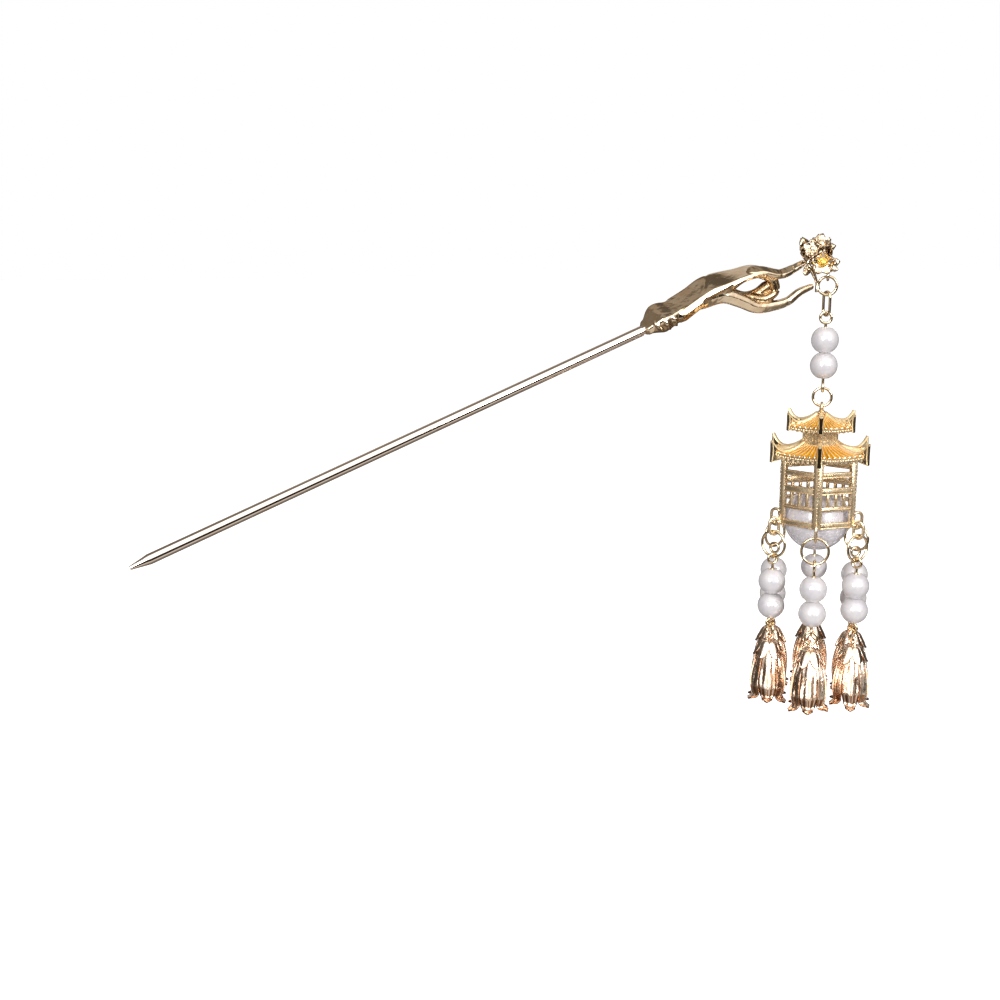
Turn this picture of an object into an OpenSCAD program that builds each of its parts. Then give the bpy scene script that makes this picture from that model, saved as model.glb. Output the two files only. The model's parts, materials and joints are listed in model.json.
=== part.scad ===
// Buyao hairpin: a plain stick, a cast hand that holds a flower sprig, and a
// hanging hexagonal pavilion lantern with six bead drops that end in bell flowers.
// Origin: the middle of the stick, where it sits in the hair. Hand end is +X, up is +Z.

/* [Stick] */
// Diameter of the round stick
stick_d = 2.2; // [1.8:0.1:2.6]
// Length from the tip to the root of the cuff
stick_len = 116; // [100:1:130]
// Length of the blunt cone at the tip
tip_len = 4; // [2:0.5:6]
// Diameter of the flat at the very tip
tip_d = 0.8; // [0.5:0.1:1.2]
// Slope of the stick, down toward the tip
pin_tilt = 22.3; // [15:0.1:30]
// Distance from the tip to the place where the hair holds the stick
seat_from_tip = 58; // [50:1:64]
// Diameter of the tenon at the hand end of the stick
tenon_d = 1.8; // [1.5:0.1:2]

/* [Hand] */
// Distance that the flat mouth of the cuff lies before its root
mouth_set = 1.5; // [1.2:0.1:1.6]
// Depth of the socket for the stick beyond the root of the cuff
socket_depth = 4; // [3:0.5:5]
// Clearance round and before the stick's tenon in its socket
socket_clear = 0.1; // [0.08:0.01:0.15]
// Facets round each rounded part of the hand
hand_facets = 10; // [8:2:12]
// Level distance from the root of the cuff to the tip of the thumb
hand_len = 38; // [35:0.5:42]

/* [Flower sprig] */
// Radius of the stem between finger and thumb
stem_r = 0.42; // [0.35:0.01:0.45]
// Mean radius of the eye under the blossoms and of the eye on the lantern
eye_r = 0.95; // [0.9:0.05:1]

/* [Wire and pearls] */
// Diameter of the wire of rings and eye pins
wire_d = 0.6; // [0.5:0.05:0.65]
// Gap between wires that hang in one another
wire_gap = 0.1; // [0.1:0.01:0.15]
// Diameter of a pearl
pearl_d = 6; // [5.8:0.1:6.1]
// Height of a pearl between the flats round its hole
pearl_h = 5.5; // [5.3:0.1:5.7]
// Gap between a pearl and its neighbour on the pin
pearl_gap = 0.1; // [0.1:0.01:0.2]
// Diameter of the hole through a pearl
pearl_bore_d = 0.9; // [0.85:0.05:1.1]
// Mean radius of the ring that hangs in the eye of the sprig
hook_r = 1.98; // [1.9:0.01:2.1]
// Mean radius of the round ends of the oval link
link_r = 1.15; // [1.1:0.05:1.25]
// Distance between the wires at the two ends of the oval link
link_pitch = 5.1; // [4.8:0.1:5.6]
// Turn of the long link out of the plane of the hook ring
link_turn = -54; // [-90:2:-50]
// Mean radius of the upper loop of the top eye pin
top_loop_r = 1.2; // [1.1:0.05:1.3]
// Mean radius of the lower loop of the top eye pin
top_foot_r = 1; // [0.95:0.05:1.1]
// Straight wire between a loop of the top eye pin and the pearl next to it
top_neck = 0.6; // [0.5:0.1:0.7]
// Mean radius of the ring that carries the lantern
bail_r = 2; // [1.9:0.05:2.2]

/* [Lantern] */
// Distance from the axis to a corner of the cage
cage_r = 9.5; // [8.8:0.1:10.2]
// Height of the cage from its base to the top of its posts
cage_h = 14.6; // [14.2:0.1:14.6]
// Thickness of the cage walls
cage_wall = 0.85; // [0.8:0.05:0.85]
// Half width of a corner post along each face
post_w = 1.1; // [1:0.1:1.3]
// Width of the bars between two openings in a row
bar_w = 0.6; // [0.5:0.1:0.7]
// Width of the base's rim inside the walls
base_lip = 0.02; // [0.01:0.01:0.05]
// Gap between the bead and the hole in the base
bead_gap = 0.16; // [0.12:0.02:0.3]
// Height of the middle of the bead above the base of the lantern
bead_rise = 0.75; // [0.6:0.05:1.5]
// Distance from the axis to the tips of the lower roof
lower_tip_r = 12.2; // [12:0.1:12.6]
// Distance from the axis to the tips of the upper roof
upper_tip_r = 8.4; // [8.2:0.1:8.7]
// Height from the top of the posts to the eave of the lower roof
eave_lift = 0.7; // [0.6:0.05:0.8]
// Thickness of a roof at its eave
eave_t = 0.7; // [0.6:0.05:0.8]
// Rise of the lower roof from its eave to the drum
lower_rise = 2.3; // [2:0.1:2.6]
// Rise of the upper roof from its eave to its crown
upper_rise = 2.4; // [2.2:0.1:2.7]
// Height of the drum between the lower roof and the eave of the upper roof
drum_h = 3; // [2.8:0.1:3.3]
// Height of the ridges of the lower roof at their tips
lower_ridge_h = 4.7; // [4.4:0.1:5]
// Height of the ridges of the upper roof at their tips
upper_ridge_h = 3.9; // [3.6:0.1:4.2]
// Gap between the posts of the cage and the ridges that rest on them
post_clear = 0.2; // [0.15:0.05:0.3]
// Height of the tile ribs at the eave of the lower roof
rib_h = 0.4; // [0.3:0.05:0.5]
// Depth of the teeth of the fringe below the eave of the lower roof
fringe_h = 0.8; // [0.6:0.05:0.9]
// Thickness of the ridges on the corners of the roofs
ridge_w = 1; // [0.8:0.1:1.2]
// Distance from the axis to a corner of the drum between the roofs
drum_r = 4.2; // [4:0.1:4.4]

/* [Drops] */
// How far the drops hang outside the corners of the cage
drop_reach = 1; // [0.9:0.05:1.1]
// Distance from the base of the lantern down to the wire of a corner eye
lug_drop = 2.3; // [2.2:0.1:2.5]
// Height of a corner eye between its upper and lower wire
lug_pitch = 3.7; // [3.5:0.1:3.9]
// Mean radius of the round ends of a corner eye
lug_r = 1.15; // [1.1:0.05:1.2]
// Mean radius of the ring at the top of a drop
ring_r = 2.9; // [2.8:0.05:3]
// Mean radius of the upper loop of a drop's eye pin
loop_r = 1.1; // [1.05:0.05:1.2]
// Mean radius of the lower loop of a drop's eye pin
foot_r = 0.9; // [0.9:0.05:1]
// Straight wire between the upper loop of a drop's eye pin and its pearl
loop_neck = 1.1; // [0.9:0.1:1.3]
// Mean radius of the small ring that carries a bell flower
bell_ring_r = 1.35; // [1.3:0.05:1.5]
// Mean radius of the eye on a bell flower
bell_eye_r = 0.85; // [0.8:0.05:0.9]
// Height of a bell flower from its crown to its petal tips
bell_h = 14; // [13.5:0.1:15]
// Radius of a bell flower where it is widest
bell_r = 4.1; // [3.9:0.1:4.3]
// Thickness of the petals
petal_wall = 0.6; // [0.5:0.05:0.7]

/* [Hidden] */
DROPS = 6;

gold = "#d8c39a";
rose_gold = "#c98f6a";
pearl_white = "#efeae4";
bead_grey = "#d6d2da";

wire_r = wire_d / 2;
pearl_r = pearl_d / 2;
// Distance between the centres of two wires that hang in one another
hang = wire_d + wire_gap;
// Turn of the pendant about its own axis, so that a corner of the lantern lies in the pin's plane
pendant_yaw = -30;
shank_len = stick_len - mouth_set - socket_clear - tip_len;
cuff_x = (stick_len - seat_from_tip) * cos(pin_tilt);
cuff_z = (stick_len - seat_from_tip) * sin(pin_tilt);

// The sprig's eye from the root of the cuff, in hundredths of the hand's length
eye_row = [110.3, 25.0];
hang_x = eye_row[0] * hand_len / 100;
hang_z = eye_row[1] * hand_len / 100;

// Distances from the axis of the lantern
base_hole = cage_r * cos(30) - cage_wall - base_lip;
bead_r = base_hole - bead_gap;
drop_r = cage_r + drop_reach;

// Heights on the lantern above its base
lower_eave = cage_h + eave_lift;
upper_eave = lower_eave + eave_t + lower_rise + drum_h;
crown_h = upper_eave + eave_t + upper_rise;
finial_foot = 0.5;
apex_h = crown_h + finial_foot;

// Heights on the pendant, from the wire of the hanging eye at 0 downward
hook_z = hang - hook_r;
sway_z = hook_z - hook_r;
link_top_z = sway_z + hang;
link_foot_z = link_top_z - link_pitch;
top_loop_z = link_foot_z + hang - top_loop_r;
top_pearl_z = top_loop_z - top_loop_r - wire_r - top_neck - pearl_h / 2;
pearl_step = pearl_h + pearl_gap;
top_foot_z = top_pearl_z - pearl_step - pearl_h / 2 - top_neck - wire_r - top_foot_r;
bail_z = top_foot_z - top_foot_r + hang - bail_r;
finial_z = bail_z - bail_r + hang - eye_r;
base_z = finial_z - eye_r - apex_h;
lug_foot_z = base_z - lug_drop;
ring_z = lug_foot_z + hang - ring_r;
loop_z = ring_z - ring_r + hang - loop_r;
pearl_z = loop_z - loop_r - wire_r - loop_neck - pearl_h / 2;
foot_z = pearl_z - pearl_step - pearl_h / 2 - pearl_gap - wire_r - foot_r;
bell_ring_z = foot_z - foot_r + hang - bell_ring_r;
bell_eye_z = bell_ring_z - bell_ring_r + hang - bell_eye_r;
bell_top_z = bell_eye_z - bell_eye_r;

// The rows of the hand and the sprig are in hundredths of the hand's length, from the root of the cuff.
// Rounded sections: along x, across y, up z, half height, half width
arm_rows = [
    [17.4, 0, 9.5, 7.1, 7.1],
    [26.8, 0, 15.5, 6.6, 6.0],
    [35.3, 0, 20.8, 6.8, 6.8],
    [44.7, 0, 24.2, 6.0, 8.2],
    [54.2, 0, 27.9, 3.4, 8.7],
    [64.7, 0, 30.3, 3.4, 8.2],
    [72.7, 0.1, 29.3, 3.1, 6.5]
];
index_rows = [
    [65.3, -4.7, 30.5, 3.2, 2.9],
    [77.9, -4.2, 28.9, 3.0, 2.8],
    [86.8, -2.4, 31.8, 2.5, 2.2],
    [93.4, -1.0, 34.7, 1.8, 1.8]
];
thumb_rows = [
    [30.3, -1.6, 13.9, 4.2, 4.5],
    [43.7, -2.1, 17.1, 4.2, 4.5],
    [55.3, -2.4, 13.9, 3.9, 3.7],
    [63.9, -2.4, 10.5, 3.4, 3.2],
    [75.3, -1.8, 11.1, 2.9, 2.9],
    [83.9, -1.3, 13.2, 2.6, 2.6],
    [92.6, -0.5, 18.7, 2.2, 2.4],
    [99.7, 0, 21.3, 1.7, 1.8]
];
// One curled finger in its own plane: along x, up z, radius
curl_rows = [
    [66.8, 29.5, 3.0],
    [74.7, 26.3, 3.1],
    [77.1, 18.9, 2.6],
    [71.3, 15.0, 2.5],
    [61.6, 15.8, 2.4],
    [54.7, 16.6, 2.1]
];
// Hollow of the palm behind the thumb: along x, across y, up z, radius
palm_rows = [
    [47.0, 2.0, 20.8, 2.5],
    [53.0, 3.0, 17.3, 2.6],
    [60.5, 3.4, 16.3, 2.8],
    [67.5, 3.2, 18.0, 3.0],
    [72.5, 2.8, 21.5, 3.2]
];
// The three curled fingers: place across the hand, shift along it, share of the size
curls = [
    [0.3, 0, 1],
    [4.5, 1.3, 0.95],
    [8.4, 2.9, 0.86]
];
// Sleeve cuff round the wrist: along x, up z, radius
cuff_rows = [
    [0.5, 0.8, 4.7],
    [6.3, 4.5, 8.2],
    [13.2, 7.4, 7.2],
    [17.9, 10.0, 6.1]
];

// Stem between finger and thumb: along x, up z
stem_rows = [
    [103.9, 18.2],
    [103.5, 22.6],
    [100.8, 28.9],
    [97.2, 35.0],
    [101.6, 39.5]
];
// Heart of the sprig, where the blossoms and leaves meet: place, half sizes
heart_row = [105, 0.3, 39.5, 5.4, 4.5, 5.6];
// Blossoms: place, radius, turn about Z of the way it faces, and its tilt up from level
blossoms = [
    [106.1, -3.9, 35.8, 6.6, -30, -8],
    [97.9, -3.2, 42.4, 5.0, -62, 18],
    [104.5, -1.1, 45.0, 5.5, -15, 52],
    [110.0, 1.6, 40.0, 5.8, 62, 12],
    [104.2, 4.7, 38.4, 6.3, 165, 10]
];
// Leaves: place of the foot, then of the tip, half width
leaves = [
    [97.9, 1.1, 36.6, 91.8, 0.5, 48.7, 2.2],
    [106.8, 1.1, 42.5, 115.5, 2.1, 44.1, 1.8],
    [108.4, 0.5, 34.2, 117.4, 0, 35.3, 2.0],
    [107.9, -1.1, 33.7, 114.5, -3.2, 30.8, 1.8],
    [105.8, 2.6, 43.7, 108.4, 4.2, 50.8, 1.8],
    [97.9, -0.8, 32.6, 94.7, -1.1, 27.9, 1.3]
];

// Roof ridge in the radial plane: share of the way to the tip, top and foot above the eave
ridge_rows = [
    [0, 1, 0.55],
    [0.34, 0.63, 0.31],
    [0.66, 0.53, 0.16],
    [1, 1.06, 0]
];
// Share of a ridge's height at which its foot rests on a post
seat_share = ridge_rows[2][2];

// Bell flower outline: share of the height, share of the widest radius
bell_rows = [
    [0, 0.16],
    [0.05, 0.4],
    [0.2, 0.66],
    [0.42, 0.88],
    [0.68, 0.98],
    [0.9, 0.98],
    [1, 1.12]
];
PETALS = 6;

module at_seat() {
    rotate([0, -pin_tilt, 0]) children();
}

module at_cuff() {
    translate([cuff_x, 0, cuff_z]) children();
}

module at_pendant() {
    translate([cuff_x + hang_x, 0, cuff_z + hang_z]) rotate([0, 0, pendant_yaw]) children();
}

module at_drop(n) {
    at_pendant() rotate([0, 0, (n - 1) * 360 / DROPS]) translate([0, -drop_r, 0]) children();
}

// Ring in the plane of local X and Z
module wire_ring(mean_r) {
    rotate([90, 0, 0]) rotate_extrude($fn = 48) translate([mean_r, 0]) circle(r = wire_r, $fn = 24);
}

// Link in the plane of local X and Z, whose end wires lie at top_z and top_z - pitch
module wire_link(end_r, pitch, top_z) {
    straight = pitch - 2 * end_r;
    for (side = [0, 1])
        translate([0, 0, top_z - end_r - side * straight]) rotate([90, side * 180, 0])
            rotate_extrude(angle = 180, $fn = 48) translate([end_r, 0]) circle(r = wire_r, $fn = 24);
    for (x = [-end_r, end_r])
        translate([x, 0, top_z - end_r - straight]) cylinder(h = straight, r = wire_r, $fn = 24);
}

// Eye pin: two loops in the plane of local X and Z on a straight wire
module eye_pin(top_z, top_r, low_z, low_r) {
    translate([0, 0, top_z]) wire_ring(top_r);
    translate([0, 0, low_z]) wire_ring(low_r);
    translate([0, 0, low_z + low_r]) cylinder(h = top_z - top_r - low_z - low_r, r = wire_r, $fn = 24);
}

// Pearl with a small flat round each end of its hole
module drilled_pearl() {
    difference() {
        sphere(r = pearl_r, $fn = 64);
        cylinder(h = 2 * pearl_d, d = pearl_bore_d, center = true, $fn = 24);
        for (side = [-1, 1])
            translate([0, 0, side * (pearl_h / 2 + pearl_r)]) cube(2 * pearl_r, center = true);
    }
}

// Chain of rounded sections, each hulled to the next, in hundredths of the hand's length
module flesh(rows) {
    for (i = [0 : len(rows) - 2])
        hull()
            for (row = [rows[i], rows[i + 1]])
                translate([row[0], row[1], row[2]]) scale([row[3], row[4], row[3]])
                    sphere(r = 1, $fn = hand_facets);
}

// Frame of the hand's rows: origin at the root of the cuff, in hundredths of the hand's length
module at_hand() {
    at_cuff() scale(hand_len / 100) children();
}

module stick() {
    color(gold) at_seat() translate([-seat_from_tip, 0, 0]) rotate([0, 90, 0]) {
        cylinder(h = tip_len, d1 = tip_d, d2 = stick_d, $fn = 48);
        translate([0, 0, tip_len]) cylinder(h = shank_len, d = stick_d, $fn = 48);
        translate([0, 0, tip_len + shank_len])
            cylinder(h = mouth_set + socket_depth, d = tenon_d, $fn = 48);
    }
}

module curled_fingers() {
    for (c = curls)
        flesh([for (row = curl_rows) [row[0] + c[1], c[0], row[1], row[2] * c[2], row[2] * c[2]]]);
}

module cuff() {
    flesh([for (row = cuff_rows) [row[0], 0, row[1], row[2], row[2]]]);
    // Ruffle where the sleeve opens round the wrist
    ruffle_tilt = 34;
    ruffles = 7;
    translate([18.9, 0, 9.7]) rotate([0, -ruffle_tilt, 0])
        for (i = [0 : ruffles - 1])
            rotate([i * 360 / ruffles, 0, 0]) translate([0, 0, 5.8]) scale([3.3, 2.6, 2.3])
                sphere(r = 1, $fn = 8);
}

module hand() {
    color(gold) difference() {
        at_hand() {
            cuff();
            flesh(arm_rows);
            flesh(index_rows);
            flesh(thumb_rows);
            flesh([for (row = palm_rows) [row[0], row[1], row[2], row[3], row[3]]]);
            curled_fingers();
        }
        at_seat() translate([stick_len - seat_from_tip - mouth_set, 0, 0]) rotate([0, 90, 0]) {
            translate([0, 0, -mouth_set])
                cylinder(h = 2 * mouth_set + socket_depth, d = tenon_d + 2 * socket_clear, $fn = 16);
            translate([0, 0, -stick_d]) cube([4, 4, 2] * stick_d, center = true);
        }
    }
}

module petal(r) {
    rotate([0, -18, 0]) translate([r * 0.56, 0, 0]) scale([0.46, 0.4, 0.18]) sphere(r = r, $fn = 6);
}

module blossom(row) {
    r = row[3];
    translate([row[0], row[1], row[2]]) rotate([0, 0, row[4]]) rotate([90 - row[5], 0, 0]) {
        for (i = [0 : 4])
            rotate([0, 0, 90 + i * 72]) petal(r);
        translate([0, 0, r * 0.12]) scale([1, 1, 0.75]) sphere(r = r * 0.42, $fn = 8);
    }
}

module leaf(row) {
    foot = [row[0], row[1], row[2]];
    tip = [row[3], row[4], row[5]];
    middle = foot + 0.55 * (tip - foot);
    hull() {
        translate(foot) sphere(r = 0.9, $fn = 6);
        translate(middle) scale([1, 0.45, 1]) sphere(r = row[6], $fn = 8);
    }
    hull() {
        translate(middle) scale([1, 0.45, 1]) sphere(r = row[6], $fn = 8);
        translate(tip) sphere(r = 0.6, $fn = 6);
    }
}

module flower_sprig() {
    color(gold) {
        at_hand() {
            stem = stem_r * 100 / hand_len;
            flesh([for (row = stem_rows) [row[0], 0, row[1], stem, stem]]);
            translate([heart_row[0], heart_row[1], heart_row[2]])
                scale([heart_row[3], heart_row[4], heart_row[5]]) sphere(r = 1, $fn = 8);
            for (row = blossoms)
                blossom(row);
            for (row = leaves)
                leaf(row);
        }
        // Eye below the blossoms, square to the ring that hangs in it
        at_pendant() translate([0, 0, eye_r]) rotate([90, 0, 90])
            rotate_extrude($fn = 16) translate([eye_r, 0]) circle(r = wire_r, $fn = 6);
        // Foot of the eye, which runs up into the heart of the sprig
        at_cuff() hull() {
            translate([hang_x - 0.6 * eye_r, 0, hang_z + 2.6 * eye_r]) sphere(r = 1.1 * eye_r, $fn = 8);
            translate([heart_row[0], heart_row[1], heart_row[2]] * hand_len / 100)
                sphere(r = 1.1 * eye_r, $fn = 8);
        }
    }
}

module hook_ring() {
    color(gold) at_pendant() translate([0, 0, hook_z]) wire_ring(hook_r);
}

module top_link() {
    color(gold) at_pendant() rotate([0, 0, link_turn]) wire_link(link_r, link_pitch, link_top_z);
}

module top_pin() {
    color(gold) at_pendant() {
        translate([0, 0, top_loop_z]) wire_ring(top_loop_r);
        translate([0, 0, top_foot_z]) rotate([0, 0, 90]) wire_ring(top_foot_r);
        translate([0, 0, top_foot_z + top_foot_r])
            cylinder(h = top_loop_z - top_loop_r - top_foot_z - top_foot_r, r = wire_r, $fn = 24);
    }
}

module top_pearl(n) {
    color(pearl_white) at_pendant() translate([0, 0, top_pearl_z - (n - 1) * pearl_step]) drilled_pearl();
}

module bail_ring() {
    color(gold) at_pendant() translate([0, 0, bail_z]) wire_ring(bail_r);
}

// Height of a roof tile above the eave, at a share of the way out and an angle from a face's middle
function tile_rise(t, a, drop, lift, rib) =
    drop * pow(1 - t, 1.6) + lift * pow(abs(a) / 30, 3) * t * t + rib * t;

// Points of one ring of a roof: share t of the way from r_in to the corner radius r_out
function roof_ring(t, steps, r_in, r_out, eave, drop, lift, odd_rise) = [
    for (i = [0 : 6 * steps - 1])
        let (
            a = (i % steps) * 60 / steps - 30,
            r = (r_in + (r_out - r_in) * t) * cos(30) / cos(a),
            turn = i * 60 / steps,
            high = eave + tile_rise(t, a, drop, lift, i % 2 == 1 ? odd_rise : 0)
        )
        [r * sin(turn), -r * cos(turn), high]
];

// Curved roof skin with tile ribs above and a toothed fringe below its eave.
// under_drop and under_lift shape its underside as drop and lift shape its top.
// thick is the height of its edge.
module roof_skin(steps, rings, r_in, r_out, eave, drop, lift, under_drop, under_lift, rib, thick, fringe) {
    count = 6 * steps;
    shares = [for (k = [0 : rings]) k / rings];
    top = [for (t = shares) each roof_ring(t, steps, r_in, r_out, eave + thick, drop, lift, rib)];
    under = [
        for (k = [0 : rings])
            each roof_ring(shares[k], steps, r_in, r_out - 0.1, eave, under_drop, under_lift,
                k == rings ? -fringe : 0)
    ];
    low = (rings + 1) * count;
    points = concat(top, under, [[0, 0, eave + thick + drop], [0, 0, eave + under_drop]]);
    crown = 2 * low;
    function quad(a, b, c, d) = [[a, b, c], [a, c, d]];
    faces = [
        for (i = [0 : count - 1])
            let (j = (i + 1) % count)
            each concat(
                [[crown, j, i], [crown + 1, low + i, low + j]],
                [for (k = [0 : rings - 1])
                    each quad(k * count + i, k * count + j, (k + 1) * count + j, (k + 1) * count + i)],
                [for (k = [0 : rings - 1])
                    each quad(low + k * count + i, low + (k + 1) * count + i,
                        low + (k + 1) * count + j, low + k * count + j)],
                quad(rings * count + i, rings * count + j,
                    low + rings * count + j, low + rings * count + i)
            )
    ];
    polyhedron(points, faces);
}

module ridges(r_in, r_tip, foot_h, tip_h) {
    for (n = [0 : 5])
        rotate([0, 0, n * 60])
            for (i = [0 : len(ridge_rows) - 2])
                hull()
                    for (row = [ridge_rows[i], ridge_rows[i + 1]])
                        translate([-ridge_w / 2, -(r_in + (r_tip - r_in) * row[0]), foot_h + row[2] * tip_h])
                            cube([ridge_w, 0.05, (row[1] - row[2]) * tip_h]);
}

module lantern_roof() {
    color(gold) at_pendant() translate([0, 0, base_z]) {
        // Lower roof and its ridges, which rest on the posts of the cage
        roof_skin(8, 3, 0.7 * drum_r, lower_tip_r - ridge_w, lower_eave, lower_rise, eave_lift * 0.7,
            0.78 * lower_rise, eave_lift * 0.7, rib_h, eave_t, fringe_h);
        ridges(drum_r - ridge_w / 2, lower_tip_r,
            cage_h + post_clear - seat_share * lower_ridge_h, lower_ridge_h);
        // Drum between the roofs
        translate([0, 0, lower_eave + eave_t]) rotate([0, 0, 30])
            cylinder(h = lower_rise + drum_h + eave_t + 0.4, r = drum_r, $fn = 6);
        // Upper roof, its ridges and finial
        roof_skin(6, 2, 1.2, upper_tip_r - ridge_w * 0.6, upper_eave, upper_rise, eave_lift * 0.6,
            0, 0, rib_h * 0.75, eave_t, fringe_h * 0.75);
        ridges(1.1, upper_tip_r, upper_eave - 0.4, upper_ridge_h);
        translate([0, 0, upper_eave + eave_t]) rotate([0, 0, 30])
            cylinder(h = upper_rise + finial_foot + 0.1, r = 1.45, $fn = 6);
        translate([0, 0, apex_h + eye_r]) rotate([90, 0, 90])
            rotate_extrude($fn = 16) translate([eye_r, 0]) circle(r = wire_r, $fn = 6);
    }
}

// Bands of openings in the walls: foot and head as shares of the cage's height, count in each face
opening_rows = [
    [0.09, 0.267, 1],
    [0.33, 0.52, 4],
    [0.623, 0.774, 1],
    [0.856, 1.4, 1]
];

module lantern_cage() {
    inner_r = cage_r - cage_wall / cos(30);
    wall_y = cage_r * cos(30) - cage_wall / 2;
    rim_h = opening_rows[0][0] * cage_h;
    bay = cage_r - 2 * post_w;
    color(gold) at_pendant() translate([0, 0, base_z]) {
        difference() {
            rotate([0, 0, 30]) cylinder(h = cage_h, r = cage_r, $fn = 6);
            translate([0, 0, rim_h]) rotate([0, 0, 30]) cylinder(h = cage_h, r = inner_r, $fn = 6);
            translate([0, 0, -1]) rotate([0, 0, 30])
                cylinder(h = rim_h + 2, r = base_hole / cos(30), $fn = 6);
            for (n = [0 : 5], band = opening_rows)
                rotate([0, 0, n * 60 + 30])
                    for (i = [0 : band[2] - 1])
                        translate([(i - (band[2] - 1) / 2) * (bay + bar_w) / band[2], -wall_y,
                            (band[0] + band[1]) / 2 * cage_h])
                            cube([(bay + bar_w) / band[2] - bar_w, 2 * cage_wall,
                                (band[1] - band[0]) * cage_h], center = true);
        }
        // Eyes on the six lower corners, square to the rings that hang in them
        for (n = [0 : DROPS - 1])
            rotate([0, 0, n * 360 / DROPS]) translate([0, -drop_r, 0]) rotate([0, 0, 90])
                wire_link(lug_r, lug_pitch, lug_pitch - lug_drop);
    }
}

module lantern_bead() {
    color(bead_grey) at_pendant() translate([0, 0, base_z + bead_rise]) sphere(r = bead_r, $fn = 96);
}

// Turn of each drop's ring out of the plane square to its corner eye, from drop 1 to drop 6
ring_turns = [0, -15, 30, 0, -15, 30];

module drop_ring(n) {
    color(gold) at_drop(n) rotate([0, 0, ring_turns[n - 1]]) translate([0, 0, ring_z]) wire_ring(ring_r);
}

module drop_pin(n) {
    color(gold) at_drop(n) rotate([0, 0, 90]) eye_pin(loop_z, loop_r, foot_z, foot_r);
}

module pearl_upper(n) {
    color(pearl_white) at_drop(n) translate([0, 0, pearl_z]) drilled_pearl();
}

module pearl_lower(n) {
    color(pearl_white) at_drop(n) translate([0, 0, pearl_z - pearl_step]) drilled_pearl();
}

module bell_ring(n) {
    color(gold) at_drop(n) translate([0, 0, bell_ring_z]) wire_ring(bell_ring_r);
}

// One ring of the bell flower: radius drawn in between petals, rim notched between their tips
function bell_ring_points(row, inset, steps) = [
    for (i = [0 : steps - 1])
        let (
            a = i * 360 / steps,
            edge = 1 - abs(cos(a * PETALS / 2)),
            r = bell_r * row[1] * (1 - 0.14 * edge * row[0]) - inset,
            z = -bell_h * (row[0] - (row[0] > 0.9 ? 1.15 * edge * (row[0] - 0.9) : 0))
        )
        [r * sin(a), -r * cos(a), z]
];

module bell_shell() {
    steps = 4 * PETALS;
    rows = len(bell_rows);
    outer = [for (row = bell_rows) each bell_ring_points(row, 0, steps)];
    inner = [for (i = [2 : rows - 1]) each bell_ring_points(bell_rows[i], petal_wall, steps)];
    low = rows * steps;
    last = rows - 3;
    points = concat(outer, inner, [[0, 0, 0.1], [0, 0, -bell_h * 0.12]]);
    crown = low + (last + 1) * steps;
    function quad(a, b, c, d) = [[a, b, c], [a, c, d]];
    faces = [
        for (i = [0 : steps - 1])
            let (j = (i + 1) % steps)
            each concat(
                [[crown, j, i], [crown + 1, low + i, low + j]],
                [for (k = [0 : rows - 2])
                    each quad(k * steps + i, k * steps + j, (k + 1) * steps + j, (k + 1) * steps + i)],
                [for (k = [0 : last - 1])
                    each quad(low + k * steps + i, low + (k + 1) * steps + i,
                        low + (k + 1) * steps + j, low + k * steps + j)],
                quad((rows - 1) * steps + i, (rows - 1) * steps + j,
                    low + last * steps + j, low + last * steps + i)
            )
    ];
    polyhedron(points, faces);
}

// Sepals on the shoulder of the bell: share of the widest radius, share of the height,
// then width and thickness as shares of that radius
sepal_rows = [
    [0.15, 0, 0.29, 0.12],
    [0.47, 0.093, 0.42, 0.12],
    [0.73, 0.257, 0.08, 0.09]
];

module calyx() {
    for (i = [0 : 4], k = [0, 1])
        rotate([0, 0, i * 72])
            hull()
                for (row = [sepal_rows[k], sepal_rows[k + 1]])
                    translate([0, -row[0] * bell_r, -row[1] * bell_h])
                        cube([row[2], row[3] * 1.4, row[3]] * bell_r, center = true);
}

module bell_flower(n) {
    color(rose_gold) at_drop(n) translate([0, 0, bell_top_z]) {
        bell_shell();
        calyx();
        translate([0, 0, bell_eye_r]) rotate([90, 0, 90])
            rotate_extrude($fn = 10) translate([bell_eye_r, 0]) circle(r = wire_r, $fn = 5);
    }
}

stick();
hand();
flower_sprig();
hook_ring();
top_link();
top_pin();
top_pearl(1);  // top_pearl_1
top_pearl(2);  // top_pearl_2
bail_ring();
lantern_roof();
lantern_cage();
lantern_bead();
for (n = [1 : DROPS]) {
    drop_ring(n);
    drop_pin(n);
    pearl_upper(n);
    pearl_lower(n);
    bell_ring(n);
    bell_flower(n);
}
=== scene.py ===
"""Looks of the buyao hairpin: finer castings, materials, studio light and the photograph's camera."""
import json
import math

import bpy
import numpy as np
from mathutils import Matrix, Vector


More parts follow.
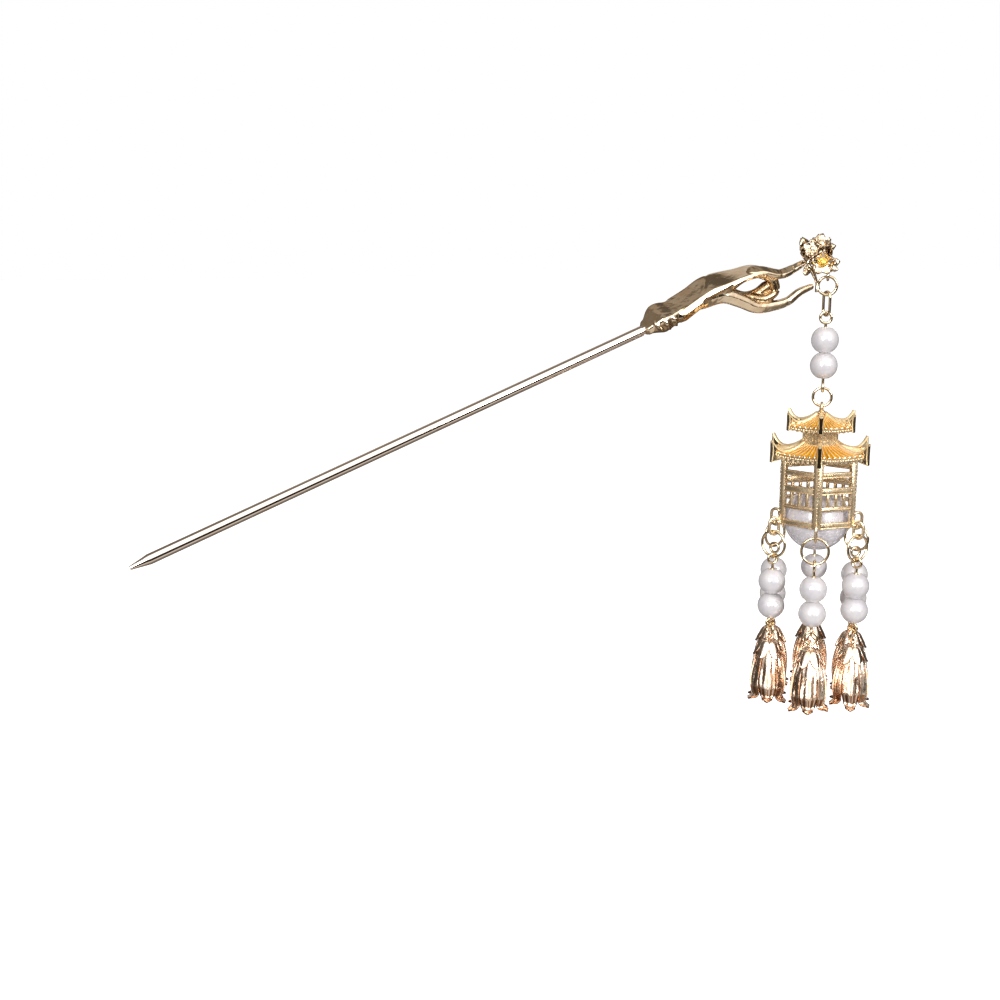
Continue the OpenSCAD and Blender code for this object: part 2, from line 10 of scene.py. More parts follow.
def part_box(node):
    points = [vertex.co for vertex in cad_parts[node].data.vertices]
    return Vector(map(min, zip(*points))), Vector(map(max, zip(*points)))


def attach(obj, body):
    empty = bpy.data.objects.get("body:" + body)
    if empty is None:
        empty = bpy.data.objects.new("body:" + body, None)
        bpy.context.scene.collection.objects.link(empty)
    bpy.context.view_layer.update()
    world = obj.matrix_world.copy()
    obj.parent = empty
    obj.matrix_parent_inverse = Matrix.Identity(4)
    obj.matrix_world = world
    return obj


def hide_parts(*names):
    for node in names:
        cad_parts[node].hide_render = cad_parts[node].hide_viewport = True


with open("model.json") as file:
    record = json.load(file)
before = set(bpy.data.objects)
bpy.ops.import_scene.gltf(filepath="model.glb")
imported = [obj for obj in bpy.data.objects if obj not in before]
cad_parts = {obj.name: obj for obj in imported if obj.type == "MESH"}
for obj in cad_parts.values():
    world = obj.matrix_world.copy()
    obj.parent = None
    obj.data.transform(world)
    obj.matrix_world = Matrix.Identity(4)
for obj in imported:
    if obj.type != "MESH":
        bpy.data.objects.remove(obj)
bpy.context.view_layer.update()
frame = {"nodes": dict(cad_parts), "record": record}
MM = 0.001

# ---------------- camera
camera_data = bpy.data.cameras.new("camera")
camera_data.sensor_width = 36
camera_data.lens = 48.6
camera_data.clip_start = 0.005
camera_data.clip_end = 20
camera = bpy.data.objects.new("camera", camera_data)
bpy.context.scene.collection.objects.link(camera)
camera.location = (-0.05812, -0.26369, 0.04311)
camera.rotation_euler = (math.radians(78.5), 0, math.radians(-16.75))
bpy.context.scene.camera = camera
bpy.context.scene.view_settings.view_transform = "Standard"

# ---------------- places, in millimetres
swing = next(j for j in frame["record"]["behaviour"]["joints"] if j["name"] == "pendant_swing")
HANG = np.array(swing["pos_m"]) * 1000  # lowest point of the sprig's eye, where the hook ring hangs
YAW = math.radians(-30)  # turn of the pendant about the vertical
TILT = math.radians(22.3)  # slope of the stick
CUFF_AT = 58  # from the origin to the cuff, along the stick
CUFF = np.array([CUFF_AT * math.cos(TILT), 0, CUFF_AT * math.sin(TILT)])
HAND = 38 / 100  # the tables of hand and sprig are in hundredths of the hand's length
bead_low, bead_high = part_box("lantern_bead")
BEAD_UP = 0.75  # from the cage's base to the bead's middle
BASE_Z = (bead_low.z + bead_high.z) / 2 * 1000 - BEAD_UP
DROP_R = 10.5  # from the pendant's axis to a drop
WIRE_R = 0.3
EYE_R = 0.95  # middle radius of the cast eyes of sprig and roof
COS30 = math.cos(math.radians(30))
TINY = 1e-12  # added to lengths before a division by them
CORNERS = np.radians(np.arange(6) * 60)
SIDES = np.radians(np.arange(6) * 60 + 30)
HEXAGON = np.stack([np.sin(CORNERS), -np.cos(CORNERS)], 1)


def pendant_point(points, turn=0.0):
    """Points given in the pendant's own frame (z is the world's height), turned by 'turn' more."""
    p = np.asarray(points, float)
    c, s = math.cos(YAW + turn), math.sin(YAW + turn)
    return np.stack([HANG[0] + c * p[:, 0] - s * p[:, 1], s * p[:, 0] + c * p[:, 1], p[:, 2]], 1)


def lantern_point(points):
    """Points given above the middle of the lantern's base."""
    return pendant_point(points + [0, 0, BASE_Z])


def to_hand(points):
    """Points given in hundredths of the hand's length from the cuff."""
    return np.asarray(points, float) * HAND + CUFF


def from_hand(points):
    """The same way back, for points in metres."""
    return (points / MM - CUFF) / HAND


# ---------------- mesh helpers
def turned(points, angle):
    """Points turned about Z."""
    p = np.array(points, float)
    c, s = math.cos(angle), math.sin(angle)
    return np.stack([c * p[:, 0] - s * p[:, 1], s * p[:, 0] + c * p[:, 1], p[:, 2]], 1)


class Build:
    """Gathers vertices and faces in millimetres; each face keeps a material index."""

    def __init__(self):
        self.verts, self.faces, self.mats = [], [], []
        self.count = 0

    def add(self, verts, faces, mat=0, turn=0.0):
        """Adds a mesh turned about Z; mat is one material index, or a list with one for each face."""
        self.verts.append(turned(verts, turn))
        self.faces += [tuple(int(i) + self.count for i in f) for f in faces]
        self.mats += mat if isinstance(mat, list) else [mat] * len(faces)
        self.count += len(verts)

    def move(self, place):
        """Moves all that was added so far."""
        self.verts = [place(np.vstack(self.verts))]

    def object(self, name, materials, place=np.asarray):
        """Blender object with the named materials; place moves its points, in millimetres."""
        mesh = bpy.data.meshes.new(name)
        mesh.from_pydata((place(np.vstack(self.verts)) * MM).tolist(), [], self.faces)
        mesh.update()
        for material in materials:
            mesh.materials.append(MATERIALS[material])
        mesh.polygons.foreach_set("material_index", self.mats)
        mesh.polygons.foreach_set("use_smooth", [True] * len(self.faces))
        obj = bpy.data.objects.new(name, mesh)
        bpy.context.scene.collection.objects.link(obj)
        return obj


def apply_modifiers(obj):
    bpy.context.view_layer.update()
    depsgraph = bpy.context.evaluated_depsgraph_get()
    mesh = bpy.data.meshes.new_from_object(obj.evaluated_get(depsgraph))
    old = obj.data
    obj.modifiers.clear()
    obj.data = mesh
    mesh.name = old.name + "_done"
    bpy.data.meshes.remove(old)
    return obj


def mesh_vectors(items, key):
    """One vector of each vertex or face of a mesh, as an array."""
    values = np.zeros(len(items) * 3, np.float32)
    items.foreach_get(key, values)
    return values.reshape(-1, 3).astype(float)


def track(x, y, z):
    """Path from its coordinates; each is a number or an array."""
    return np.stack(np.broadcast_arrays(x, y, z), 1).astype(float)


def spline(rows, count):
    """Rows along a smooth cubic through the given ones, at equal steps of the length between their points."""
    rows = np.asarray(rows, float)
    step = np.sqrt(((rows[1:, :3] - rows[:-1, :3]) ** 2).sum(1))
    at = np.concatenate([[0], np.cumsum(step)])
    slopes = np.gradient(rows, at, axis=0)
    t = np.linspace(0, at[-1], count)
    k = np.clip(np.searchsorted(at, t, side="right") - 1, 0, len(at) - 2)
    h = (at[k + 1] - at[k])[:, None]
    u = (t - at[k])[:, None] / h
    return (rows[k] * (1 + 2 * u) * (1 - u) ** 2 + slopes[k] * h * u * (1 - u) ** 2
            + rows[k + 1] * u * u * (3 - 2 * u) + slopes[k + 1] * h * u * u * (u - 1))


def smoothed(values):
    """Values averaged with their neighbours; the ends stay."""
    kernel = np.array([1, 2, 3, 2, 1]) / 9
    return np.convolve(np.pad(values, 2, mode="reflect", reflect_type="odd"), kernel, "valid")


def ring_faces(rings, sides, closed=False):
    """Faces between rings of points; a row of rings that isn't closed gets a cap at each end."""
    faces = []
    for i in range(rings if closed else rings - 1):
        here, there = i * sides, ((i + 1) % rings) * sides
        for j in range(sides):
            k = (j + 1) % sides
            faces.append((here + j, here + k, there + k, there + j))
    if not closed:
        faces.append(tuple(range(sides - 1, -1, -1)))
        faces.append(tuple(range((rings - 1) * sides, rings * sides)))
    return faces


def corner_section(corners, sides):
    """Unit cross-section through the given (across, up) corners, evenly spaced along its edges."""
    c = np.array(corners + corners[:1], float)
    edge = np.hypot(*(c[1:] - c[:-1]).T)
    at = np.concatenate([[0], np.cumsum(edge)])
    t = np.linspace(0, at[-1], sides, endpoint=False)
    return np.stack([np.interp(t, at, c[:, 0]), np.interp(t, at, c[:, 1])], 1)


def round_section(sides):
    a = np.linspace(0, 2 * math.pi, sides, endpoint=False)
    return np.stack([np.cos(a), np.sin(a)], 1)


def limb(rows, section, count):
    """Closed tube with round ends, along rows of x, y, z, half height and half width (along Y)."""
    rows = spline(rows, count)
    centre = rows[:, :3]
    along = np.gradient(centre, axis=0)
    along /= np.linalg.norm(along, axis=1)[:, None]
    across = np.array([0, 1, 0]) - along[:, 1:2] * along
    across /= np.linalg.norm(across, axis=1)[:, None]
    up = np.cross(across, along)
    up *= np.where(up[:, 2:3] < 0, -1, 1)

    def ring(i, shift, share):
        spokes = section[:, :1] * across[i] * rows[i, 4] + section[:, 1:] * up[i] * rows[i, 3]
        return centre[i] + along[i] * shift + share * spokes

    first, last = min(rows[0, 3:]), min(rows[-1, 3:])
    steps = [(math.sin(a), math.cos(a)) for a in np.radians([25, 50, 75])]
    rings = [ring(0, -s * first, c) for s, c in reversed(steps)]
    rings += [ring(i, 0, 1) for i in range(count)]
    rings += [ring(count - 1, s * last, c) for s, c in steps]
    return np.vstack(rings), ring_faces(len(rings), len(section))


def pipe(path, radius, sides, closed=False):
    """Round tube along a path of points; radius is a number, or a list with one for each point."""
    path = np.asarray(path, float)
    n = len(path)
    radius = np.broadcast_to(np.asarray(radius, float), (n,))
    along = np.roll(path, -1, 0) - np.roll(path, 1, 0) if closed else np.gradient(path, axis=0)
    along /= np.linalg.norm(along, axis=1)[:, None] + TINY
    first = np.cross(along[0], [0.13, 0.31, 0.94])  # any direction that no path starts along
    normals = [first / np.linalg.norm(first)]
    for i in range(1, n):
        v = normals[-1] - along[i] * np.dot(along[i], normals[-1])
        normals.append(v / (np.linalg.norm(v) + TINY))
    normals = np.array(normals)
    twist = 0.0
    if closed:  # spread the twist that is left over the whole loop
        v = normals[-1] - along[0] * np.dot(along[0], normals[-1])
        v /= np.linalg.norm(v)
        twist = math.atan2(np.dot(np.cross(v, normals[0]), along[0]), np.dot(v, normals[0]))
    binormals = np.cross(along, normals)
    phi = np.linspace(0, 2 * math.pi, sides, endpoint=False)
    rings = []
    for i in range(n):
        a = (phi + twist * i / n)[:, None]
        rings.append(path[i] + radius[i] * (np.cos(a) * normals[i] + np.sin(a) * binormals[i]))
    return np.vstack(rings), ring_faces(n, sides, closed)


def eye_ring(centre, radius, steps):
    """Cast wire eye in the YZ plane."""
    a = np.linspace(0, 2 * math.pi, steps, endpoint=False)
    path = track(0, np.cos(a) * radius, np.sin(a) * radius) + np.asarray(centre, float)
    return pipe(path, WIRE_R, 12, True)


def stadium(top, end_r, pitch, tube, sides=12, steps=20):
    """Long link in the YZ plane whose end wires lie at top and top - pitch."""
    straight = pitch - 2 * end_r
    a = np.linspace(0, math.pi, steps)
    y = np.concatenate([np.cos(a), -np.cos(a)]) * end_r
    z = np.concatenate([np.sin(a) * end_r - end_r, -np.sin(a) * end_r - end_r - straight])
    return pipe(track(0, y, z) + np.asarray(top, float), tube, sides, True)


def ball(centre, radius, rings=8, sides=12, scale=(1, 1, 1)):
    verts, faces = [[0, 0, -1]], []
    for i in range(1, rings):
        t = math.pi * i / rings
        for j in range(sides):
            p = 2 * math.pi * j / sides
            verts.append([math.sin(t) * math.cos(p), math.sin(t) * math.sin(p), -math.cos(t)])
    verts.append([0, 0, 1])
    top = len(verts) - 1
    for j in range(sides):
        k = (j + 1) % sides
        faces.append((0, 1 + k, 1 + j))
        faces.append((top, top - sides + j, top - sides + k))
        for i in range(rings - 2):
            a = 1 + i * sides
            faces.append((a + j, a + k, a + sides + k, a + sides + j))
    return np.array(verts) * radius * np.asarray(scale) + np.asarray(centre, float), faces


def shell(grid, thick):
    """Solid sheet from a grid of points (rows, columns, 3), moved both ways along its normals."""
    rows, cols = grid.shape[:2]
    normal = np.cross(np.gradient(grid, axis=0), np.gradient(grid, axis=1))
    normal /= np.linalg.norm(normal, axis=2)[..., None] + TINY
    a = (grid + normal * thick / 2).reshape(-1, 3)
    b = (grid - normal * thick / 2).reshape(-1, 3)
    faces, n = [], rows * cols
    for i in range(rows - 1):
        for j in range(cols - 1):
            p, q = i * cols + j, i * cols + j + 1
            r, s = q + cols, p + cols
            faces.append((p, s, r, q))
            faces.append((n + p, n + q, n + r, n + s))
    rim = ([(0, j) for j in range(cols)] + [(i, cols - 1) for i in range(1, rows)]
           + [(rows - 1, j) for j in range(cols - 2, -1, -1)] + [(i, 0) for i in range(rows - 2, 0, -1)])
    rim = [i * cols + j for i, j in rim]
    for p, q in zip(rim, rim[1:] + rim[:1]):
        faces.append((p, q, n + q, n + p))
    return np.vstack([a, b]), faces


def sheet_axes(rows, cols):
    """Shares of a sheet's length from 0 to 1, and of its half width from -1 to 1."""
    return np.linspace(0, 1, rows)[:, None], np.linspace(-1, 1, cols)[None, :]


def sheet_mats(rows, cols, front, back, rim):
    """Material of each face of a shell."""
    return [front, back] * ((rows - 1) * (cols - 1)) + [rim] * (2 * rows + 2 * cols - 4)


def box(centre, size):
    corners = np.array([[x, y, z] for x in (-1, 1) for y in (-1, 1) for z in (-1, 1)])
    verts = corners * (np.asarray(size, float) / 2) + np.asarray(centre, float)
    return verts, [(0, 1, 3, 2), (4, 6, 7, 5), (0, 4, 5, 1), (2, 3, 7, 6), (0, 2, 6, 4), (1, 5, 7, 3)]


def hexagons(rings):
    """Points of hexagons given as (radius, height)."""
    return np.vstack([np.column_stack([HEXAGON * r, np.full(6, z)]) for r, z in rings])


def hashed(i, k):
    """Fixed pseudo-random share from 0 to 1."""
    v = math.sin(i * 12.9898 + k * 78.233) * 43758.5453
    return v - math.floor(v)


# ---------------- materials
def add_node(tree, kind, inputs=(), **settings):
    """Shader node with settings; each of its inputs is given as a value or as a socket to link."""
    node = tree.nodes.new("ShaderNode" + kind)
    for key, value in settings.items():
        setattr(node, key, value)
    for socket, value in dict(inputs).items():
        if isinstance(value, bpy.types.NodeSocket):
            tree.links.new(value, node.inputs[socket])
        else:
            node.inputs[socket].default_value = value
    return node


def set_stops(color_ramp, stops):
    """Fills a colour ramp from (place, colour) pairs; its own two stops become the first and the last."""
    for element, (at, colour) in zip(color_ramp.elements, (stops[0], stops[-1])):
        element.position, element.color = at, (*colour, 1)
    for at, colour in stops[1:-1]:
        color_ramp.elements.new(at).color = (*colour, 1)


class Shader:
    """Material with a principled surface that is fed from noise in the object's own space."""

    def __init__(self, name, **values):
        """values are sockets of the surface that are the same all over, with _ for a space."""
        self.mat = bpy.data.materials.new(name)
        self.mat.use_nodes = True
        self.tree = self.mat.node_tree
        self.tree.nodes.clear()
        inputs = {socket.replace("_", " "): value for socket, value in values.items()}
        self.bsdf = add_node(self.tree, "BsdfPrincipled", inputs)
        self.coords = add_node(self.tree, "TexCoord")
        add_node(self.tree, "OutputMaterial", {"Surface": self.bsdf.outputs[0]})

    def noise(self, scale, detail, rough):
        inputs = {"Vector": self.coords.outputs["Object"],
                  "Scale": scale, "Detail": detail, "Roughness": rough}
        return add_node(self.tree, "TexNoise", inputs).outputs["Fac"]

    def tone(self, noise, stops):
        """Base colour that drifts through the (place, colour) stops."""
        node = add_node(self.tree, "ValToRGB", {"Fac": noise})
        set_stops(node.color_ramp, stops)
        self.tree.links.new(node.outputs["Color"], self.bsdf.inputs["Base Color"])

    def polish(self, noise, low, high):
        """Roughness from low to high, over the middle of the noise."""
        inputs = {"Value": noise, "From Min": 0.3, "From Max": 0.7, "To Min": low, "To Max": high}
        node = add_node(self.tree, "MapRange", inputs)
        self.tree.links.new(node.outputs["Result"], self.bsdf.inputs["Roughness"])

    def relief(self, wave, grain):
        """Bumps of two (scale per metre, height in mm) layers, the second on the first."""
        below = {}
        for scale, tall in (wave, grain):
            inputs = {"Height": self.noise(scale, 2, 0.5), "Strength": 1.0, "Distance": tall * MM}
            below = {"Normal": add_node(self.tree, "Bump", inputs | below).outputs["Normal"]}
        self.tree.links.new(below["Normal"], self.bsdf.inputs["Normal"])


def metal(name, light, dark, rough, wave, grain, metallic=1.0, specular=0.5):
    """Plated casting or wire: its tone drifts from dark to light, its polish varies between the two rough
    values, and it has waves and a grain, each as (scale per metre, height in mm)."""
    s = Shader(name, Metallic=metallic, Specular_IOR_Level=specular)
    between = tuple((a + b) / 2 for a, b in zip(light, dark))
    s.tone(s.noise(350, 4, 0.6), [(0.32, dark), (0.5, between), (0.66, light)])
    s.polish(s.noise(900, 5, 0.65), *rough)
    s.relief(wave, grain)
    return s.mat


def pearl_material():
    s = Shader("pearl_lacquer", Sheen_Weight=1.0, Sheen_Roughness=0.25, Sheen_Tint=(1.0, 0.94, 0.87, 1),
               Specular_IOR_Level=0.25, Coat_Weight=1.0, Coat_Roughness=0.08, Coat_IOR=1.9)
    s.tone(s.noise(420, 3, 0.5),
           [(0.3, (0.57, 0.54, 0.57)), (0.5, (0.61, 0.58, 0.59)), (0.7, (0.66, 0.62, 0.61))])
    s.polish(s.noise(1500, 4, 0.6), 0.2, 0.3)
    return s.mat


def bead_material():
    s = Shader("milky_bead", Transmission_Weight=0.35, IOR=1.49, Coat_Weight=0.8, Coat_Roughness=0.08)
    s.tone(s.noise(160, 4, 0.55),
           [(0.3, (0.75, 0.72, 0.77)), (0.5, (0.79, 0.76, 0.80)), (0.7, (0.84, 0.81, 0.84))])
    s.polish(s.noise(900, 3, 0.5), 0.18, 0.34)
    return s.mat


def floor_material():
    s = Shader("pale_floor", Roughness=0.9, Specular_IOR_Level=0.1, Emission_Color=(1, 1, 1, 1),
               Emission_Strength=0.62)
    s.tone(s.noise(6, 3, 0.5), [(0.3, (0.955, 0.955, 0.96)), (0.7, (0.975, 0.975, 0.975))])
    return s.mat


# Light and dark tone, polish, wave, grain and, where they aren't the usual ones, metallic and specular
METALS = {
    "stick_gold": [(0.98, 0.88, 0.79), (0.92, 0.80, 0.69), (0.04, 0.09), (260, 0.01), (6000, 0.002)],
    "hand_shade": [(0.68, 0.49, 0.29), (0.26, 0.17, 0.09), (0.16, 0.32), (1200, 0.08), (2600, 0.02)],
    "hand_gold": [(1.0, 0.85, 0.64), (0.92, 0.70, 0.47), (0.05, 0.13), (430, 0.13), (2600, 0.012)],
    "sprig_shade": [(0.50, 0.37, 0.24), (0.24, 0.17, 0.10), (0.1, 0.25), (900, 0.06), (3500, 0.02)],
    "sprig_gold": [(1.0, 0.88, 0.72), (0.84, 0.66, 0.46), (0.07, 0.18), (700, 0.08), (3500, 0.02)],
    "heart_gold": [(1.0, 0.72, 0.22), (0.93, 0.56, 0.12), (0.25, 0.42), (1500, 0.04), (5000, 0.03)],
    "wire_gold": [(0.96, 0.80, 0.54), (0.80, 0.62, 0.38), (0.05, 0.12), (700, 0.012), (5000, 0.004)],
    "lantern_gold": [(1.0, 0.84, 0.58), (0.88, 0.66, 0.41), (0.18, 0.32), (1500, 0.03), (4200, 0.028), 0.9],
    "tile_gold": [(0.76, 0.36, 0.0), (0.60, 0.25, 0.0), (0.5, 0.62), (900, 0.006), (4200, 0.006), 0.0, 0.1],
    "rib_gold": [(0.98, 0.82, 0.52), (0.88, 0.66, 0.34), (0.28, 0.4), (900, 0.006), (4200, 0.005), 0.5],
    "mirror_gold": [(0.96, 0.82, 0.60), (0.84, 0.66, 0.44), (0.05, 0.1), (900, 0.02), (4200, 0.004)],
    "rose_shade": [(0.56, 0.27, 0.13), (0.19, 0.09, 0.045), (0.12, 0.28), (1300, 0.06), (3600, 0.03)],
    "rose_gold": [(1.0, 0.90, 0.80), (0.96, 0.68, 0.49), (0.08, 0.2), (1300, 0.07), (3600, 0.02)],
}
MATERIALS = {name: metal(name, *row) for name, row in METALS.items()}
MATERIALS |= {"pearl": pearl_material(), "bead": bead_material(), "floor": floor_material()}


# ---------------- CAD nodes that stay
def dress(nodes, material):
    for node in nodes:
        obj = frame["nodes"][node]
        obj.data.materials.clear()
        obj.data.materials.append(MATERIALS[material])


NUMBERS = range(1, 7)
dress(["stick"], "stick_gold")
dress(["hook_ring", "top_link", "top_pin", "bail_ring"], "wire_gold")
dress([f"{name}_{n}" for n in NUMBERS for name in ("drop_ring", "drop_pin", "bell_ring")], "wire_gold")
dress(["top_pearl_1", "top_pearl_2"], "pearl")
dress([f"{name}_{n}" for n in NUMBERS for name in ("pearl_upper", "pearl_lower")], "pearl")
dress(["lantern_bead"], "bead")


# ---------------- the hand
# x, y, z, half height and half width
ARM = [[17.4, 0, 9.5, 7.1, 7.4], [26.8, 0, 15.5, 6.6, 7.2], [35.3, 0, 20.8, 6.8, 7.8],
       [44.7, 0, 24.2, 6.0, 8.4], [54.2, 0, 27.9, 3.8, 8.7], [64.7, 0, 30.2, 3.6, 8.2],
       [72.7, 0.1, 29.3, 3.0, 6.5], [79.0, -0.6, 28.4, 2.1, 4.6]]
INDEX = [[60, -4.4, 30.2, 3.3, 3.2], [65.3, -4.7, 30.5, 3.2, 2.9], [77.9, -4.2, 28.9, 3.0, 2.8],
         [86.8, -2.4, 31.8, 2.5, 2.2], [93.4, -1.0, 34.7, 1.8, 1.8]]
THUMB = [[30.3, -1.6, 13.9, 4.2, 4.5], [43.7, -2.1, 17.1, 4.2, 4.5], [55.3, -2.4, 13.9, 3.9, 3.7],
         [63.9, -2.4, 10.5, 3.4, 3.2], [75.3, -1.8, 11.1, 2.9, 2.9], [83.9, -1.3, 13.2, 2.6, 2.6],
         [92.6, -0.5, 18.7, 2.2, 2.4], [99.7, 0, 21.3, 1.7, 1.8]]
# x, y, z and radius
PALM = [[47.0, 2.0, 21.8, 2.6], [53.0, 3.0, 18.2, 2.6], [60.5, 3.4, 16.3, 2.8], [67.5, 3.2, 18.0, 3.0],
        [72.5, 2.8, 21.5, 3.2]]
# x, z and radius of a curled finger; place across, shift along x and size of each of them
CURL = [[66.8, 29.5, 3.0], [74.7, 26.3, 3.1], [77.1, 18.9, 2.6], [71.3, 15.0, 2.5], [61.6, 15.8, 2.4],
        [54.7, 16.6, 2.1]]
CURLS = [[0.3, 0, 1], [4.5, 1.3, 0.95], [8.4, 2.9, 0.86]]
# x, z and radius
SLEEVE = [[0.5, 0.8, 4.7], [6.3, 4.5, 8.2], [13.2, 7.4, 7.2], [17.9, 10.0, 6.1], [24, 13.6, 5.6]]
# Cross-sections: flat upper face, crisp ridge towards the front, flat lower face
ARM_SECTION = [(-0.9, 0), (0.75, 1), (0.95, 0.8), (1, 0.1), (0.7, -0.8), (0.1, -1), (-0.65, -0.95),
               (-1, -0.45)]
CUFF_SECTION = [(-0.95, 0.12), (0.6, 1), (0.9, 0.8), (1, 0), (0.7, -0.8), (0, -1), (-0.75, -0.75),
                (-1, -0.05)]
INDEX_SECTION = [(-0.95, 0), (0.4, 0.95), (0.95, 0.5), (1, -0.3), (0.5, -1), (-0.65, -0.95), (-1, -0.35)]
THUMB_SECTION = [(-1, 0.05), (-0.8, 0.7), (0.3, 1), (0.95, 0.4), (0.9, -0.5), (0.3, -1), (-0.5, -1)]
# Gathered edge of the sleeve: x, z and size of its folds
RUFFLE = [[3.4, 1.3, 2.3], [7.6, 3.1, 2.8], [12.4, 5.1, 2.7], [17.0, 7.0, 2.6], [21.4, 8.4, 2.3],
          [25.4, 9.6, 2.0], [5.2, -0.4, 1.9], [9.4, 0.7, 2.1], [13.6, 2.6, 2.1], [17.6, 4.6, 1.9],
          [21.4, 6.4, 1.7]]
# Creases at the finger joints: x, z and size
CREASES = [[77.9, 28.9, 1.1], [86.8, 31.8, 0.9], [83.9, 13.2, 1.0]]
# Hollow of the hand between thumb and index finger: x, lowest z and highest z
BOWL = [[49, 19.3, 22.5], [55, 17.5, 24.3], [60, 15.2, 25.8], [64, 13.0, 26.3], [75, 13.6, 25.2],
        [84, 15.4, 27.8]]
# Groove under the long ridge of the palm, seen from the front: x and z of its ends
GROOVE = [[31, 14.3], [46, 21.8]]
# Fold across the sleeve: x and z of a point on it, and its slope
FOLD_X, FOLD_Z, FOLD_SLOPE = 33.5, 24, 0.75
# Depth and half width of these
CREASE_CUT, FOLD_CUT, GROOVE_CUT = (0.2, 1.1), (0.35, 0.9), (0.7, 1.0)
CREASE_LENGTH = 4.2
ARM_SIDES, FINGER_SIDES, ROUND_SIDES = 42, 36, 28
VOXEL, QUICK_VOXEL = 0.14, 0.3


def from_groove(points):
    """Distance of points of the hand from the palm's groove."""
    foot, tip = np.array(GROOVE)
    p = points[:, [0, 2]] - foot
    share = np.clip(p @ (tip - foot) / ((tip - foot) ** 2).sum(), 0, 1)
    return np.hypot(*(p - share[:, None] * (tip - foot)).T)


def hand_forms():
    """Sleeve, arm, fingers, ruffle and knuckles, each a closed form of its own."""
    b = Build()
    b.add(*limb([[x, 0, z, r, r] for x, z, r in SLEEVE], corner_section(CUFF_SECTION, ARM_SIDES), 30))
    b.add(*limb(ARM, corner_section(ARM_SECTION, ARM_SIDES), 60))
    b.add(*limb(INDEX, corner_section(INDEX_SECTION, FINGER_SIDES), 40))
    b.add(*limb(THUMB, corner_section(THUMB_SECTION, FINGER_SIDES), 60))
    b.add(*limb([[x, y, z, r, r] for x, y, z, r in PALM], round_section(ROUND_SIDES), 40))
    for across, shift, size in CURLS:
        rows = [[x + shift, across, z, r * size, r * size] for x, z, r in CURL]
        b.add(*limb(rows, round_section(ROUND_SIDES), 50))
    sleeve = np.array(SLEEVE)
    for x, z, size in RUFFLE:
        middle, half = (np.interp(x, sleeve[:, 0], sleeve[:, i]) for i in (1, 2))
        out = half * (0.97 - 0.3 * max(0, (middle - z) / half - 0.25)) - 0.25 * size
        for side in (-1, 1):  # each fold runs down and along the edge, and bulges in its middle
            fold = [[x - 0.9 * size, side * (out - 0.5), z + 0.9 * size],
                    [x - 0.2 * size, side * (out + 0.3), z + 0.25 * size],
                    [x + 0.35 * size, side * (out + 0.3), z - 0.3 * size],
                    [x + 0.9 * size, side * (out - 0.8), z - 0.6 * size]]
            b.add(*pipe(spline(fold, 14), 0.52 * size * np.sin(np.linspace(0.5, 2.7, 14)), 12))
    for i in range(4):  # knuckles
        b.add(*ball((66.5 + 1.2 * i, -3.8 + 3.4 * i, 31.1 - 0.3 * i), 1, 8, 12, (3.0, 1.6, 1.5)))
    return b


def cut(depth, half_width, away):
    """Depth of a soft groove at a distance from its middle."""
    return depth * np.exp(-(away / half_width) ** 2)


def hand_relief(h):
    """Height of the surface at points of the hand: creases, a fold across the sleeve, the palm's groove."""
    height = np.zeros(len(h))
    for x, z, size in CREASES:
        away = np.hypot(h[:, 0] - x, h[:, 2] - z)
        height -= cut(*CREASE_CUT, h[:, 0] - x) * cut(1.0, CREASE_LENGTH * size, away)
    from_fold = h[:, 0] - FOLD_X - FOLD_SLOPE * (h[:, 2] - FOLD_Z)
    height -= cut(*FOLD_CUT, from_fold) * (h[:, 2] > FOLD_Z - 3)
    return height - cut(*GROOVE_CUT, from_groove(h)) * (h[:, 1] < -3)


def in_shade(h):
    """Which points of the hand are darker: its hollow, the groove and the underside of the sleeve."""
    x, y, z = h.T
    bowl = np.array(BOWL)
    low, high = (np.interp(x, bowl[:, 0], bowl[:, i]) for i in (1, 2))
    return (((x > 49) & (x < 81) & (z > low) & (z < high)) | ((from_groove(h) < 0.9) & (y < -3))
            | ((x > 2) & (x < 26) & (z < 0.42 * x - 0.9 + np.sin(1.4 * x))))


def hand_cast():
    obj = hand_forms().object("hand_cast", ["hand_gold", "hand_shade"], to_hand)
    remesh = obj.modifiers.new("fuse", "REMESH")
    remesh.mode = "VOXEL"
    remesh.voxel_size = VOXEL * MM
    smooth = obj.modifiers.new("soften", "SMOOTH")
    smooth.factor = 0.5
    smooth.iterations = 5
    mesh = apply_modifiers(obj).data
    co, normal = mesh_vectors(mesh.vertices, "co"), mesh_vectors(mesh.vertices, "normal")
    co += normal * (hand_relief(from_hand(co)) * HAND * MM)[:, None]
    mesh.vertices.foreach_set("co", co.astype(np.float32).ravel())
    mesh.polygons.foreach_set("use_smooth", [True] * len(mesh.polygons))
    mesh.update()
    dark = in_shade(from_hand(mesh_vectors(mesh.polygons, "center")))
    mesh.polygons.foreach_set("material_index", dark.astype(np.int32))
    return obj


hand = hand_cast()
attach(hand, "pin")
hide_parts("hand")


# ---------------- the flower sprig
# x, y and z
STEM = [[103.9, 0, 18.2], [103.5, 0, 22.6], [100.8, 0, 28.9], [97.2, 0, 35.0], [101.6, 0, 39.5],
        [104.6, 0, 41]]
# Centre and half axes of the lumps that join stem, leaves and blossoms
LUMPS = [[(105, 0.3, 39.5), (4.6, 3.9, 4.8)], [(103.8, 0, 30.5), (1.6, 1.5, 2.4)],
         [(99.5, 0, 31.5), (1.3, 1.3, 1.6)]]
